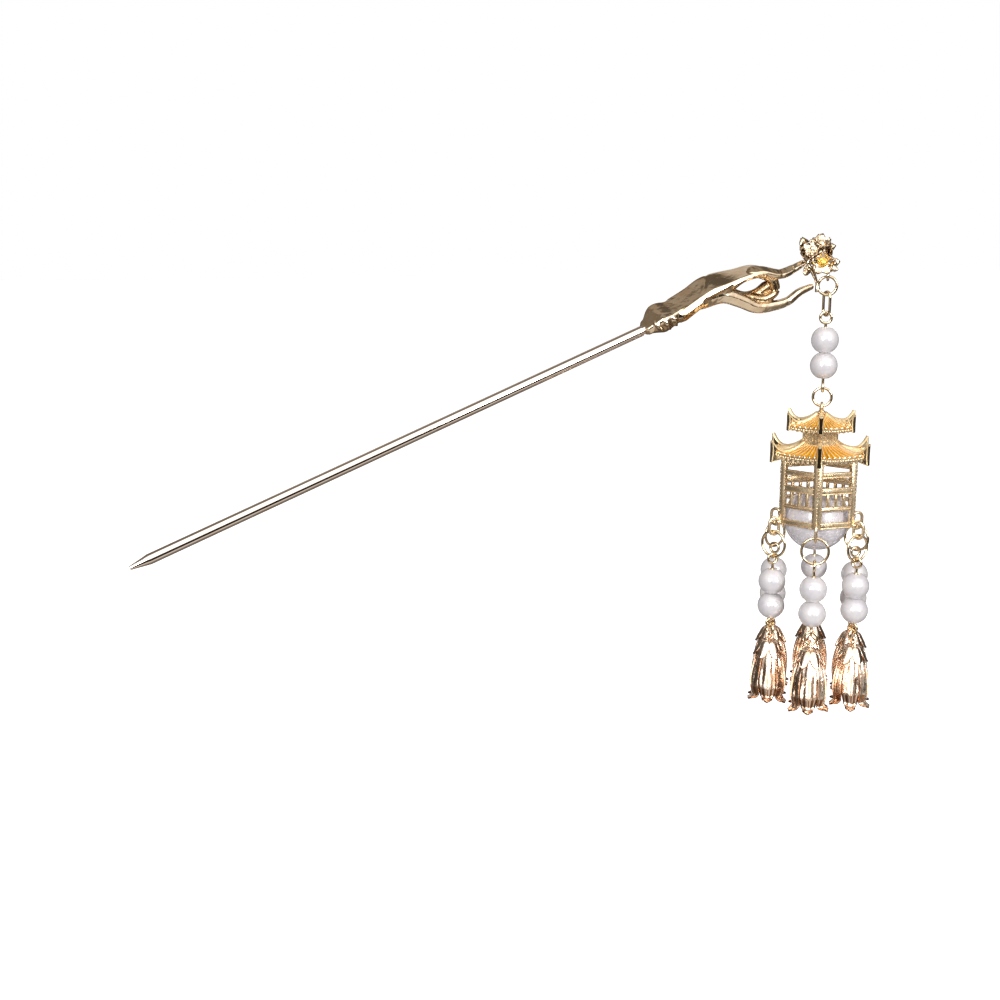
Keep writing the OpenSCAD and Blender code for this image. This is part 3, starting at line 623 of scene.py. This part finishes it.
# x, y, z, radius, turn about Z and tilt up; the first has the deep yellow heart
BLOSSOMS = [[104.4, -3.9, 34.9, 6.6, -30, -8], [97.9, -3.2, 42.4, 5.0, -44, 18],
            [104.5, -1.1, 45.0, 5.5, -15, 52], [110.0, 1.6, 40.0, 5.8, 62, 12],
            [104.2, 4.7, 38.4, 6.3, 165, 10]]
# x, y, z of the foot, x, y, z of the tip and half width
LEAVES = [[98.4, 0.6, 36.0, 92.6, -0.6, 48.4, 3.2], [106.8, 1.1, 42.5, 115.5, 2.1, 44.1, 2.2],
          [108.4, 0.5, 34.2, 117.4, 0, 35.3, 2.2], [107.9, -1.1, 33.7, 114.5, -3.2, 30.8, 2.0],
          [105.8, 2.6, 43.7, 108.4, 4.2, 50.8, 2.0], [98.2, -0.8, 33.2, 95.0, -1.1, 27.9, 1.9]]
# Leaves painted all over with sprig_shade: painted shade in place of dark reflections
SHADE_PAINTED_LEAVES = (0, 1, 4, 5)
PETAL_ROWS, PETAL_COLS = 13, 11
LEAF_ROWS, LEAF_COLS = 21, 13
GRAINS, GOLDEN_ANGLE = 34, 2.39996
SPRIG_GOLD, SPRIG_HEART, SPRIG_SHADE = 0, 1, 2


def petal_grid(r, k):
    """One cupped petal with a notched tip and veins, along +X, open towards +Z."""
    s, t = sheet_axes(PETAL_ROWS, PETAL_COLS)
    width = 0.50 * r * np.sin(math.pi * s ** 0.75 * 0.93 + 0.12) ** 0.8
    x = r * (0.14 + 0.88 * s - 0.10 * (1 - np.abs(t)) * s ** 6 - 0.10 * t ** 2 * s)
    z = r * (0.10 + 0.34 * s ** 1.6 - 0.10 * s ** 5 + 0.16 * t ** 2 * (0.4 + 0.6 * s))
    z = z + 0.03 * r * np.cos(t * 9) * s
    return np.stack([x, width * t, z + r * 0.05 * math.sin(k * 2.1) * s], 2)


def blossom(b, k):
    """Five petals round a heart of grains."""
    x, y, z, r, turn, tilt = BLOSSOMS[k]
    m = np.array(Matrix.Translation(Vector((x, y, z))) @ Matrix.Rotation(math.radians(turn), 4, "Z")
                 @ Matrix.Rotation(math.radians(90 - tilt), 4, "X"))

    def put(verts, faces, mat):
        b.add(verts @ m[:3, :3].T + m[:3, 3], faces, mat)

    for i in range(5):
        verts, faces = shell(petal_grid(r * 1.06, i + 5 * k), 0.13 * r)
        verts = turned(verts, math.radians(90 + 72 * i + 6 * math.sin(3 * i + k)))
        put(verts, faces, sheet_mats(PETAL_ROWS, PETAL_COLS, SPRIG_GOLD, SPRIG_SHADE, SPRIG_SHADE))
    heart = SPRIG_HEART if k == 0 else SPRIG_GOLD
    put(*ball((0, 0, 0.18 * r), 0.40 * r, 10, 16, (1, 1, 0.8)), heart)
    for i in range(GRAINS):
        up = 1 - 1.25 * (i + 0.5) / GRAINS
        a = i * GOLDEN_ANGLE
        q = math.sqrt(1 - up * up)
        centre = (0.39 * r * q * math.cos(a), 0.39 * r * q * math.sin(a), 0.18 * r + 0.31 * r * up)
        put(*ball(centre, 0.062 * r, 4, 6), heart)


def leaf(b, k):
    """Bowed leaf with a mid rib and a wavy edge."""
    foot, tip, half = np.array(LEAVES[k][:3]), np.array(LEAVES[k][3:6]), LEAVES[k][6]
    along = tip - foot
    length = np.linalg.norm(along)
    along /= length
    across = np.cross(along, [0, -1, 0.15])
    across /= np.linalg.norm(across)
    out = np.cross(across, along)
    s, t = sheet_axes(LEAF_ROWS, LEAF_COLS)
    width = half * (0.16 + np.sin(math.pi * s ** 0.85) ** 0.75) * (1 + 0.06 * np.sin(s * 34))
    width = width * np.clip((1.02 - s) * 9, 0.18, 1)
    rise = half * (0.35 * (1 - np.cos(t * math.pi / 2)) + 0.16 * np.exp(-(t * 6) ** 2) * (1 - s)
                   + 0.07 * np.sin(s * 26 + np.abs(t) * 4))
    rise = rise + 0.10 * length * np.sin(math.pi * s) * (1 if k % 2 else -1) * 0.6
    grid = foot + s[..., None] * length * along + (width * t)[..., None] * across + rise[..., None] * -out
    # Painted shade on the whole of those leaves, and on the rims of all leaves
    face = SPRIG_SHADE if k in SHADE_PAINTED_LEAVES else SPRIG_GOLD
    b.add(*shell(grid, half * 0.5), sheet_mats(LEAF_ROWS, LEAF_COLS, face, face, SPRIG_SHADE))


def sprig_cast():
    b = Build()
    b.add(*pipe(spline(STEM, 40), 1.12 + 0.22 * np.cos(np.linspace(0, 14, 40)), 12))
    for centre, size in LUMPS:
        b.add(*ball(centre, 1, 12, 16, size))
    for k in range(len(BLOSSOMS)):
        blossom(b, k)
    for k in range(len(LEAVES)):
        leaf(b, k)
    b.move(to_hand)
    # Eye below the blossoms, and the two lumps that hold it
    for verts, faces in (eye_ring((0, 0, HANG[2] + EYE_R), EYE_R, 40),
                         ball((0, 0, HANG[2] + 2 * EYE_R + 0.35), 0.62),
                         ball((-0.55, 0, HANG[2] + 2.5 * EYE_R), 0.95, 10, 14, (1.1, 0.9, 0.9))):
        b.add(pendant_point(verts), faces)
    return b.object("sprig_cast", ["sprig_gold", "heart_gold", "sprig_shade"])


sprig = sprig_cast()
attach(sprig, "pin")
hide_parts("flower_sprig")


# ---------------- the lantern's roof
LOWER_TIP, UPPER_TIP, RIDGE_W, DRUM_R = 12.2, 8.4, 1.0, 4.2
LOWER_EAVE, UPPER_EAVE, APEX = 15.3, 21.3, 24.9
LOWER_FOOT, LOWER_RISE, UPPER_RISE = 14.8, 4.7, 3.9
ROOF_THICK = 0.6
# Share of the length, heights of the top and of the foot as shares of the height at the tip
RIDGE = [[0, 1, 0.55], [0.17, 0.79, 0.43], [0.34, 0.64, 0.31], [0.52, 0.55, 0.22], [0.68, 0.54, 0.15],
         [0.82, 0.65, 0.08], [0.92, 0.83, 0.04], [1, 1.06, 0]]
ROOF_GOLD, ROOF_TILE, ROOF_RIB, ROOF_MIRROR = 0, 1, 2, 3


def roof_sheet(b, r_in, r_out, eave, drop, lift, under_drop, under_lift, tiles, rib):
    """Curved roof with round tile ribs that fan out; heights are above the lantern's base."""
    rings, per = 22, tiles * 8
    n = 6 * per
    t = np.linspace(0, 1, rings)[:, None]
    e = (np.arange(n) % per) / per * 2 - 1
    side = 0.5 * (r_in + (r_out - r_in) * t)
    mid = (r_in + (r_out - r_in) * t) * COS30
    px, py = side * e[None, :], -mid + 0 * e[None, :]
    a = np.radians(60 * (np.arange(n) // per) + 30)[None, :]
    x, y = px * np.cos(a) - py * np.sin(a), px * np.sin(a) + py * np.cos(a)
    corner = np.abs(e)[None, :] ** 3
    trough = np.cos(math.pi * tiles * (e[None, :] + 1))
    z = eave + ROOF_THICK + drop * (1 - t) ** 1.6 + lift * corner * t ** 2 + 0.12 * t * (trough - 1)
    z_under = eave + under_drop * (1 - t) ** 1.6 + under_lift * corner * t ** 2 + 0 * x
    top = np.stack([x, y, z], 2).reshape(-1, 3)
    under = np.stack([x * 0.99, y * 0.99, z_under], 2).reshape(-1, 3)
    quads = [(i * n + j, (i + 1) * n + j, (i + 1) * n + (j + 1) % n, i * n + (j + 1) % n)
             for i in range(rings - 1) for j in range(n)]
    low, last = rings * n, (rings - 1) * n
    flipped = [(low + p, low + s, low + r, low + q) for p, q, r, s in quads]
    rim = [(last + j, low + last + j, low + last + (j + 1) % n, last + (j + 1) % n) for j in range(n)]
    mats = [ROOF_TILE] * len(quads) + [ROOF_GOLD] * (len(flipped) + len(rim))
    b.add(np.vstack([top, under]), quads + flipped + rim, mats)
    t = np.linspace(0.03, 1.0, 20)
    across, out = 0.5 * (r_in + (r_out - r_in) * t), (r_in + (r_out - r_in) * t) * COS30
    for turn in SIDES:
        for i in range(1, tiles):
            e = 2 * i / tiles - 1
            height = (eave + ROOF_THICK + drop * (1 - t) ** 1.6 + lift * abs(e) ** 3 * t ** 2
                      + rib * (0.04 + 0.1 * t))
            b.add(*pipe(track(across * e, -out, height), rib * (0.19 + 0.21 * t), 8), ROOF_RIB, turn)


def eave_trim(b, r_out, eave, lift, tiles, fringe):
    """Round tile ends, a beaded line and a scalloped fringe along the six eaves."""
    mid = r_out * COS30
    e = np.linspace(-1, 1, tiles * 12 + 1)
    scallop = np.abs(np.sin(math.pi * tiles * (e + 1) / 2)) ** 0.7
    out = -mid + 0.3 + 0.08 * np.cos(math.pi * tiles * (e + 1))
    upper, depth = eave + 0.25 + lift * np.abs(e) ** 3, 0.25 + fringe * (0.45 + 0.55 * scallop)
    grid = np.stack([track(0.5 * (r_out - 0.35) * e, out, upper - s * depth) for s in np.linspace(0, 1, 4)])
    for turn in SIDES:
        for i in range(1, tiles):
            e = i / tiles * 2 - 1
            centre = (0.5 * r_out * e, -mid - 0.02, eave + 0.62 + lift * abs(e) ** 3)
            b.add(*ball(centre, 0.36, 6, 10, (1, 0.5, 1)), ROOF_GOLD, turn)
        for i in range(2 * tiles):
            e = (i + 0.5) / (2 * tiles) * 2 - 1
            centre = (0.5 * r_out * e, -mid + 0.12, eave + 0.02 + lift * abs(e) ** 3)
            b.add(*ball(centre, 0.3, 5, 8, (0.9, 0.8, 0.9)), ROOF_GOLD, turn)
        b.add(*shell(grid, 0.34), ROOF_GOLD, turn)


def roof_ridges(b, r_in, r_tip, foot_h, rise):
    """Upswept corner ridges: a plate with a round cap along its top, a bead along its foot, a flared end."""
    s = np.linspace(0, 1, 36)
    rows = np.array(RIDGE)
    top, low = (foot_h + smoothed(np.interp(s, rows[:, 0], rows[:, i])) * rise for i in (1, 2))
    half = RIDGE_W / 2
    reach = r_in + (r_tip - 0.2 - r_in) * s
    plate = []
    for i, share in enumerate(s):
        r = r_in + (r_tip - 0.12 - r_in) * share
        hi, lo = top[i] - 0.16, low[i] + 0.08
        mid = (hi + lo) / 2
        plate += [(half * x, -r, z) for x, z in ((-0.86, lo), (-0.7, mid), (-0.86, hi),
                                                 (0.86, hi), (0.7, mid), (0.86, lo))]
    for turn in CORNERS:
        b.add(np.array(plate), ring_faces(len(s), 6), ROOF_MIRROR, turn)
        for height, radius, wide in ((top - 0.2, 0.33, 1.45), (low + 0.16, 0.22, 2.1)):
            verts, faces = pipe(track(0, -reach, height), radius, 8)
            b.add(verts * [wide, 1, 1], faces, ROOF_RIB, turn)
        for x in (-1, 1):  # two upright edges that frame the bare face of the flared end
            u = np.linspace(0, 1, 14)
            z = np.linspace(low[-1] + 0.16, top[-1] - 0.2, 14)
            path = track(x * (half - 0.16), -(r_tip - 0.28) + 0.25 * np.sin(math.pi * u), z)
            b.add(*pipe(path, 0.15, 6), ROOF_RIB, turn)
        for x in (-1, 1):  # scroll relief on both sides of the plate
            for c, size in ((0.80, 0.55), (0.62, 0.42), (0.46, 0.36)):
                a = np.linspace(0.4, 2 * math.pi * 1.35, 26)
                k = int(c * 35)
                w = size * rise / LOWER_RISE * (1 - a / 12)
                path = track(x * (half * 0.78), -(r_in + (r_tip - r_in) * c) + w * np.cos(a),
                             (top[k] + low[k]) / 2 + w * np.sin(a))
                b.add(*pipe(path, 0.13, 6), ROOF_RIB, turn)


def lantern_roof():
    b = Build()
    lower_r, upper_r = LOWER_TIP - RIDGE_W, UPPER_TIP - RIDGE_W * 0.6
    roof_sheet(b, 0.7 * DRUM_R, lower_r, LOWER_EAVE, drop=2.3, lift=0.49, under_drop=1.8, under_lift=0.49,
               tiles=8, rib=0.44)
    eave_trim(b, lower_r, LOWER_EAVE, lift=0.49, tiles=9, fringe=0.75)
    roof_ridges(b, DRUM_R - RIDGE_W / 2, LOWER_TIP, LOWER_FOOT - 0.16 * LOWER_RISE, LOWER_RISE)
    # Drum with rails and slats: height of the foot, of the top and radius
    for z0, z1, r in ((16.0, 22.2, DRUM_R), (18.2, 18.75, DRUM_R + 0.22), (20.3, 20.9, DRUM_R + 0.22)):
        b.add(hexagons([(r, z0), (r, z1)]), ring_faces(2, 6))
    for turn in SIDES:
        for i in range(5):
            b.add(*box(((i - 2) * 0.78, -DRUM_R * COS30 - 0.02, 19.55), (0.44, 0.4, 1.9)), turn=turn)
    roof_sheet(b, 1.2, upper_r, UPPER_EAVE, drop=2.4, lift=0.42, under_drop=0.0, under_lift=0.0,
               tiles=7, rib=0.36)
    eave_trim(b, upper_r, UPPER_EAVE, lift=0.3, tiles=6, fringe=0.5)
    roof_ridges(b, 1.1, UPPER_TIP, UPPER_EAVE - 0.4, UPPER_RISE)
    # Finial: stepped collar, ball and eye
    for z, r, h in ((24.0, 1.75, 0.45), (24.6, 1.5, 0.35)):
        b.add(*ball((0, 0, z), 1, 8, 18, (r, r, h)))
    b.add(*ball((0, 0, APEX - 0.1), 0.75, 8, 14, (1, 1, 0.8)))
    b.add(*eye_ring((0, 0, APEX + EYE_R), EYE_R, 40))
    obj = b.object("roof_cast", ["lantern_gold", "tile_gold", "rib_gold", "mirror_gold"], lantern_point)
    edge = obj.modifiers.new("edge", "EDGE_SPLIT")
    edge.split_angle = math.radians(50)
    return apply_modifiers(obj)


roof = lantern_roof()
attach(roof, "pendant")
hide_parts("lantern_roof")

# ---------------- the lantern's cage
CAGE_R, CAGE_H, WALL, POST, BAR = 9.5, 14.6, 0.85, 1.1, 0.6
WALL_Y = CAGE_R * COS30 - WALL / 2
BAY = CAGE_R - 2 * POST  # width of the windows between two posts
RAILS = [(0, 0.09), (0.267, 0.33), (0.52, 0.623), (0.774, 0.856)]  # heights as shares of the cage's height
BARRED, PANES = (0.33, 0.52), 4  # the row of windows that is divided by bars
BASE_IN, BASE_OUT, BASE_LOW, BASE_TOP = 7.36 / COS30, CAGE_R - 0.09, 0.03, 1.1
LUG_LEN, LUG_DOWN, LUG_R = 3.7, 2.3, 1.15


def cage_side(b, turn):
    """Rails with raised fillets, window bars and the two strips and brackets of the corner posts."""
    for lo, hi in RAILS:
        z0, z1 = lo * CAGE_H, hi * CAGE_H
        b.add(*box((0, -WALL_Y, (z0 + z1) / 2), (CAGE_R - 0.9, 0.9 * WALL, z1 - z0)), turn=turn)
        for z in ((z0 + 0.16, z1 - 0.16) if z1 - z0 > 1 else ((z0 + z1) / 2,)):
            path = track(np.linspace(-BAY / 2, BAY / 2, 12), -WALL_Y - WALL / 2 - 0.02, z)
            b.add(*pipe(path, 0.13, 6), turn=turn)
    lo, hi = BARRED
    for i in range(1, PANES):
        x = (i - PANES / 2) * (BAY + BAR) / PANES
        pane = (BAR, WALL * 0.8, (hi - lo) * CAGE_H + 0.2)
        b.add(*box((x, -WALL_Y, (lo + hi) / 2 * CAGE_H), pane), turn=turn)
    for side in (-1, 1):
        strip_x = side * (CAGE_R / 2 - POST / 2 - 0.12)
        b.add(*box((strip_x, -WALL_Y, CAGE_H / 2), (POST, WALL, CAGE_H)), turn=turn)
    for side in (-1, 1):
        a = np.linspace(0, math.pi / 2, 8)
        x = side * (BAY / 2 - 1.1 * (1 - np.cos(a)))
        path = track(x, -WALL_Y, CAGE_H - 0.1 - 1.2 * (1 - np.sin(a)))
        b.add(*pipe(path, 0.22, 6), turn=turn)


def lantern_cage():
    b, lugs = Build(), Build()
    for corner, side in zip(CORNERS, SIDES):
        cage_side(b, side)
        # Rounded nose of the corner post with grains down its length
        b.add(*pipe(track(0, -CAGE_R + 0.42, np.linspace(0.1, CAGE_H - 0.05, 20)), 0.38, 10), turn=corner)
        for i in range(17):
            b.add(*ball((0, -CAGE_R + 0.16, 0.7 + i * 0.82), 0.2, 4, 8), turn=corner)
        # Oval corner eye and the lump that holds it
        verts, faces = stadium((0, 0, LUG_LEN - LUG_DOWN), LUG_R, LUG_LEN, 0.36)
        lugs.add(verts + [0, -DROP_R, 0], faces, turn=corner)
        lugs.add(*ball((0, -CAGE_R + 0.1, 0.45), 0.62, 8, 12, (1, 0.9, 0.85)), turn=corner)
    b.add(hexagons([(BASE_OUT, BASE_LOW), (BASE_IN, BASE_LOW), (BASE_IN, BASE_TOP), (BASE_OUT, BASE_TOP)]),
          [(i * 6 + j, ((i + 1) % 4) * 6 + j, ((i + 1) % 4) * 6 + (j + 1) % 6, i * 6 + (j + 1) % 6)
           for i in range(4) for j in range(6)])
    obj = b.object("cage_cast", ["lantern_gold"], lantern_point)
    bevel = obj.modifiers.new("bevel", "BEVEL")
    bevel.width = 0.1 * MM
    bevel.segments = 2
    bevel.limit_method = "ANGLE"
    bevel.angle_limit = math.radians(50)
    return apply_modifiers(obj), lugs.object("corner_eyes", ["lantern_gold"], lantern_point)


cage, corner_eyes = lantern_cage()
for piece in (cage, corner_eyes):
    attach(piece, "pendant")
    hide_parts("lantern_cage")

# ---------------- the bell flowers
BELL_R, BELL_H, BELL_EYE_R = 4.1, 14.0, 0.85
# Share of the height from the top, and radius as a share of the bell's
BELL = [[0, 0.16], [0.05, 0.4], [0.2, 0.66], [0.42, 0.88], [0.6, 0.98], [0.72, 1.0], [0.82, 0.92],
        [0.89, 0.85], [0.94, 0.88], [1, 1.1]]
BELL_COLS = 17
# Face columns of a petal with painted shade: a few along its whole length, and more low down as painted dark
# reflection
SHADED_COLS, LOW_SHADED_COLS = (0, 11, 15), (0, 1, 3, 4, 5, 8, 10, 11, 12, 14, 15)
SEPAL_ROWS, SEPAL_COLS = 15, 9
# Slot 1 is rose_shade, painted shade for the bells' insides, rims and shaded columns
PLATE, BELL_SHADE = 0, 1


def bell_petal(b, k, s, profile):
    """Ribbed petal whose tip turns out and up a little; its inside, its rim and a few face columns get
    painted shade, in more columns low down.
    """
    t = np.linspace(-1, 1, BELL_COLS)[None, :]
    down = s[:, None]
    wide = 31.8 - 6.5 * np.clip((s - 0.70) / 0.24, 0, 1) ** 1.5
    wide = wide * (1 - 0.55 * np.clip((s - 0.90) / 0.10, 0, 1) ** 1.6) * (1 - 0.05 * hashed(k, 3))
    a = np.radians(60 * k + 2.5 * math.sin(k * 2.7) * np.clip((down - 0.5) * 2, 0, 1) + wide[:, None] * t)
    curl = np.clip((s - 0.86) / 0.14, 0, 1)[:, None]
    belly = 0.42 * (1 - t ** 2) * np.clip(down * 2.5, 0, 1)
    wavy = 1 + 0.35 * np.sin(down * 13 + k * 2 + 2 * t)
    rib = 0.11 * wavy * np.cos(2 * math.pi * t) * np.clip(down * 3, 0, 1) * (1 - 0.4 * curl)
    r = BELL_R * profile[:, None] - 0.42 + belly + rib
    r = r + 0.34 * curl ** 2 + 0.10 * math.sin(k * 1.7) * curl
    z = -BELL_H * down + 0.75 * curl ** 3 * (0.4 + 0.6 * np.abs(t))
    z = np.maximum(z + 0.35 * curl * math.sin(k * 2.3), -BELL_H)
    # Painted shade on the inside, the rim and the listed columns; the rest keeps the plain plate
    mats = []
    for at in s[:-1]:
        dark = LOW_SHADED_COLS if 0.74 < at < 0.9 else SHADED_COLS
        for j in range(BELL_COLS - 1):
            mats += [BELL_SHADE if j in dark else PLATE, BELL_SHADE]
    mats += [BELL_SHADE] * (2 * len(s) + 2 * BELL_COLS - 4)
    b.add(*shell(np.stack([r * np.sin(a), -r * np.cos(a), z], 2), 0.42), mats)
    # Fine vein down the middle
    v_s = np.linspace(0.24, 0.92, 26)
    v_r = BELL_R * np.interp(v_s, s, profile) + 0.42
    x, y = HEXAGON[k]
    v_thick = 0.16 * np.clip(np.sin(math.pi * (v_s - 0.22) / 0.72), 0.2, 1)
    b.add(*pipe(track(v_r * x, v_r * y, -BELL_H * v_s), v_thick, 6))


def bell_sepal(b, turn):
    """Pointed sepal with a mid rib and a flared end."""
    rows = np.array(BELL)
    s, t = sheet_axes(SEPAL_ROWS, SEPAL_COLS)
    flare = np.clip((s - 0.72) / 0.28, 0, 1)
    r = np.interp(0.02 + 0.28 * s, rows[:, 0], rows[:, 1]) * BELL_R + 0.2
    r = r + 0.16 * flare ** 2 - 0.22 * t ** 2 + 0.12 * np.exp(-(t * 4) ** 2)
    half = (0.35 + 0.9 * np.sin(math.pi * s ** 0.8) ** 0.8) * np.clip((1.03 - s) * 5, 0.12, 1)
    z = -BELL_H * (0.01 + 0.28 * s) + 0.3 * flare ** 2 + 0 * t
    phi = half * t / np.maximum(r, 0.6) + turn
    grid = np.stack([r * np.sin(phi), -r * np.cos(phi), z], 2)
    # Painted shade on the sepal's back and rim
    b.add(*shell(grid, 0.36), sheet_mats(SEPAL_ROWS, SEPAL_COLS, PLATE, BELL_SHADE, BELL_SHADE))


def bell_mesh():
    b = Build()
    rows = np.array(BELL)
    s = np.concatenate([np.linspace(0.02, 0.86, 26), np.linspace(0.88, 1, 12)])
    profile = smoothed(np.interp(s, rows[:, 0], rows[:, 1]))
    for k in range(6):
        bell_petal(b, k, s, profile)
    # Cap, sepals, eye and the pistil inside
    b.add(*ball((0, 0, -0.75), 1, 10, 20, (1.5, 1.5, 1.0)))
    for turn in SIDES:
        bell_sepal(b, turn)
    b.add(*eye_ring((0, 0, BELL_EYE_R), BELL_EYE_R, 36))
    b.add(*pipe([[0, 0, -1.5], [0, 0, -6], [0.1, 0, -10.4]], [0.35, 0.25, 0.22], 8))
    b.add(*ball((0.1, 0, -10.7), 0.55))
    return b


bell = bell_mesh()
bells = []
for n in NUMBERS:
    turn = (n - 1) * math.pi / 3
    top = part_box(f"bell_flower_{n}")[0].z * 1000 + BELL_H
    obj = bell.object(f"bell_cast_{n}", ["rose_gold", "rose_shade"],
                      lambda p: pendant_point(p + [0, -DROP_R, top], turn))
    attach(obj, "pendant")
    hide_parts(f"bell_flower_{n}")
    bells.append(obj)

# ---------------- floor
FLOOR_HALF, FLOOR_Z = 4000, -120
ground = Build()
ground.add([(x * FLOOR_HALF, y * FLOOR_HALF, FLOOR_Z) for x, y in ((-1, -1), (1, -1), (1, 1), (-1, 1))],
           [(0, 1, 2, 3)])
floor = ground.object("floor", ["floor"])
floor.visible_glossy = False
floor.visible_diffuse = False

# ---------------- world
# Directions from the object: to the camera, to the photograph's right and up
FRONT = (-0.2824, -0.9383, 0.1994)
RIGHT = (0.9576, -0.2882, 0.0)
UP = (0.0575, 0.1909, 0.9799)
# Brightness that gloss sees, as (degrees up from the front, level): in the middle, beside it and at the edges
MIDDLE = [(-180, 0.15), (-84, 0.2), (-79, 0.55), (-54, 0.75), (-50, 0.03), (-8, 0.025), (-4, 1.65), (60, 1.6),
          (67, 0.4), (76, 0.14), (84, 0.12), (89, 0.32), (95, 0.32), (100, 0.11), (112, 0.1), (120, 0.42),
          (136, 0.6), (150, 0.2), (180, 0.15)]
FLANKS = [(-180, 0.1), (-100, 0.12), (-60, 0.3), (-30, 0.5), (-5, 0.6), (30, 0.95), (58, 0.8), (70, 0.2),
          (120, 0.14), (180, 0.1)]
EDGES = [(-180, 0.05), (-60, 0.06), (-10, 0.08), (20, 0.12), (60, 0.1), (120, 0.06), (180, 0.05)]
# Where one passes into the next, as the share of the direction that points to the right
MIDDLE_AT, TO_FLANKS, TO_EDGES = 0.15, (0.5, 0.66), (0.86, 0.93)

world = bpy.data.worlds.new("studio")
bpy.context.scene.world = world
world.use_nodes = True
world.cycles.sampling_method = "NONE"
sky = world.node_tree
sky.nodes.clear()
w_coords, w_rays = add_node(sky, "TexCoord"), add_node(sky, "LightPath")


def w_node(kind, *values, **settings):
    """Node of the world; values are its inputs in their order."""
    return add_node(sky, kind, enumerate(values), **settings)


def w_dot(axis):
    return w_node("VectorMath", w_coords.outputs["Generated"], axis, operation="DOT_PRODUCT").outputs["Value"]


def w_math(operation, *values):
    return w_node("Math", *values, operation=operation).outputs[0]


def w_bands(stops, angle):
    """Level against the angle; the ramp holds half of it, because a ramp ends at 1."""
    node = w_node("ValToRGB", angle)
    set_stops(node.color_ramp, [((deg + 180) / 360, (value / 2,) * 3) for deg, value in stops])
    return w_math("MULTIPLY", node.outputs["Color"], 2.0)


def w_blend(a, b, share):
    return w_math("ADD", w_math("MULTIPLY", a, w_math("SUBTRACT", 1.0, share)), w_math("MULTIPLY", b, share))


def w_step(value, low, high):
    return w_node("MapRange", value, low, high, interpolation_type="SMOOTHSTEP").outputs["Result"]


def w_switch(ray, otherwise, seen):
    """One background for a kind of ray and another for all the rest."""
    return w_node("MixShader", w_rays.outputs[ray], otherwise, seen).outputs[0]


front, right, up = w_dot(FRONT), w_dot(RIGHT), w_dot(UP)
# Turn of the direction up from the front, from -180 to 180 degrees, as a share from 0 to 1
angle = w_math("DIVIDE", w_math("ADD", w_math("ARCTAN2", up, front), math.pi), 2 * math.pi)
aside = w_math("ABSOLUTE", right)
off_middle = w_math("ABSOLUTE", w_math("SUBTRACT", right, MIDDLE_AT))
level = w_blend(w_bands(MIDDLE, angle), w_bands(FLANKS, angle), w_step(off_middle, *TO_FLANKS))
level = w_blend(level, w_bands(EDGES, angle), w_step(aside, *TO_EDGES))
warmth = w_node("ValToRGB", level)
set_stops(warmth.color_ramp, [(0.0, (1.0, 0.84, 0.68)), (1.0, (1.0, 0.99, 0.98))])
glossy = w_node("Background", warmth.outputs["Color"], level).outputs[0]
soft = w_node("Background", (0.98, 0.98, 1.0, 1), 0.46).outputs[0]
plain = w_node("Background", (1, 1, 1, 1), 1.0).outputs[0]
w_node("OutputWorld", w_switch("Is Camera Ray", w_switch("Is Glossy Ray", soft, glossy), plain))

# ---------------- lights, in metres
TARGET = Vector((0.085, 0, -0.005))
CARD_TARGET = Vector((HANG[0], 0, -52)) * MM
CARD_WAY = Vector((-0.486, -0.822, -0.296))


def way(across, lift):
    """Direction from the object at the given angles from the camera's direction, in degrees."""
    a, e = math.radians(across), math.radians(lift)
    level_way = Vector(FRONT) * math.cos(a) + Vector(RIGHT) * math.sin(a)
    return level_way * math.cos(e) + Vector(UP) * math.sin(e)


def panel(name, direction, distance, width, height, watts, target=TARGET, colour=(1, 1, 1)):
    """Area light that the camera doesn't see, at a distance from its target."""
    data = bpy.data.lights.new(name, "AREA")
    data.shape = "RECTANGLE"
    data.size, data.size_y = width, height
    data.energy = watts
    data.color = colour
    obj = bpy.data.objects.new(name, data)
    obj.location = target + direction * distance
    obj.rotation_euler = direction.to_track_quat("Z", "Y").to_euler()
    obj.visible_camera = False
    bpy.context.scene.collection.objects.link(obj)
    return obj


for side, across in (("left", -29), ("right", 29)):
    panel(f"softbox_{side}", way(across, 8), 1.0, 0.34, 0.46, 5.0).visible_diffuse = False
    panel(f"fill_{side}", way(across * 1.15, 6), 1.0, 0.2, 0.25, 6.2).visible_glossy = False
panel("top_panel", way(0, 62), 1.1, 0.9, 0.5, 3.5).visible_glossy = False
low_card = panel("low_card", CARD_WAY, 0.07, 0.14, 0.05, 0.04, CARD_TARGET, (1, 0.95, 0.9))
low_card.visible_diffuse = False
drops = bpy.data.collections.new("bells_lit_by_low_card")
for obj in bells:
    drops.objects.link(obj)
low_card.light_linking.receiver_collection = drops
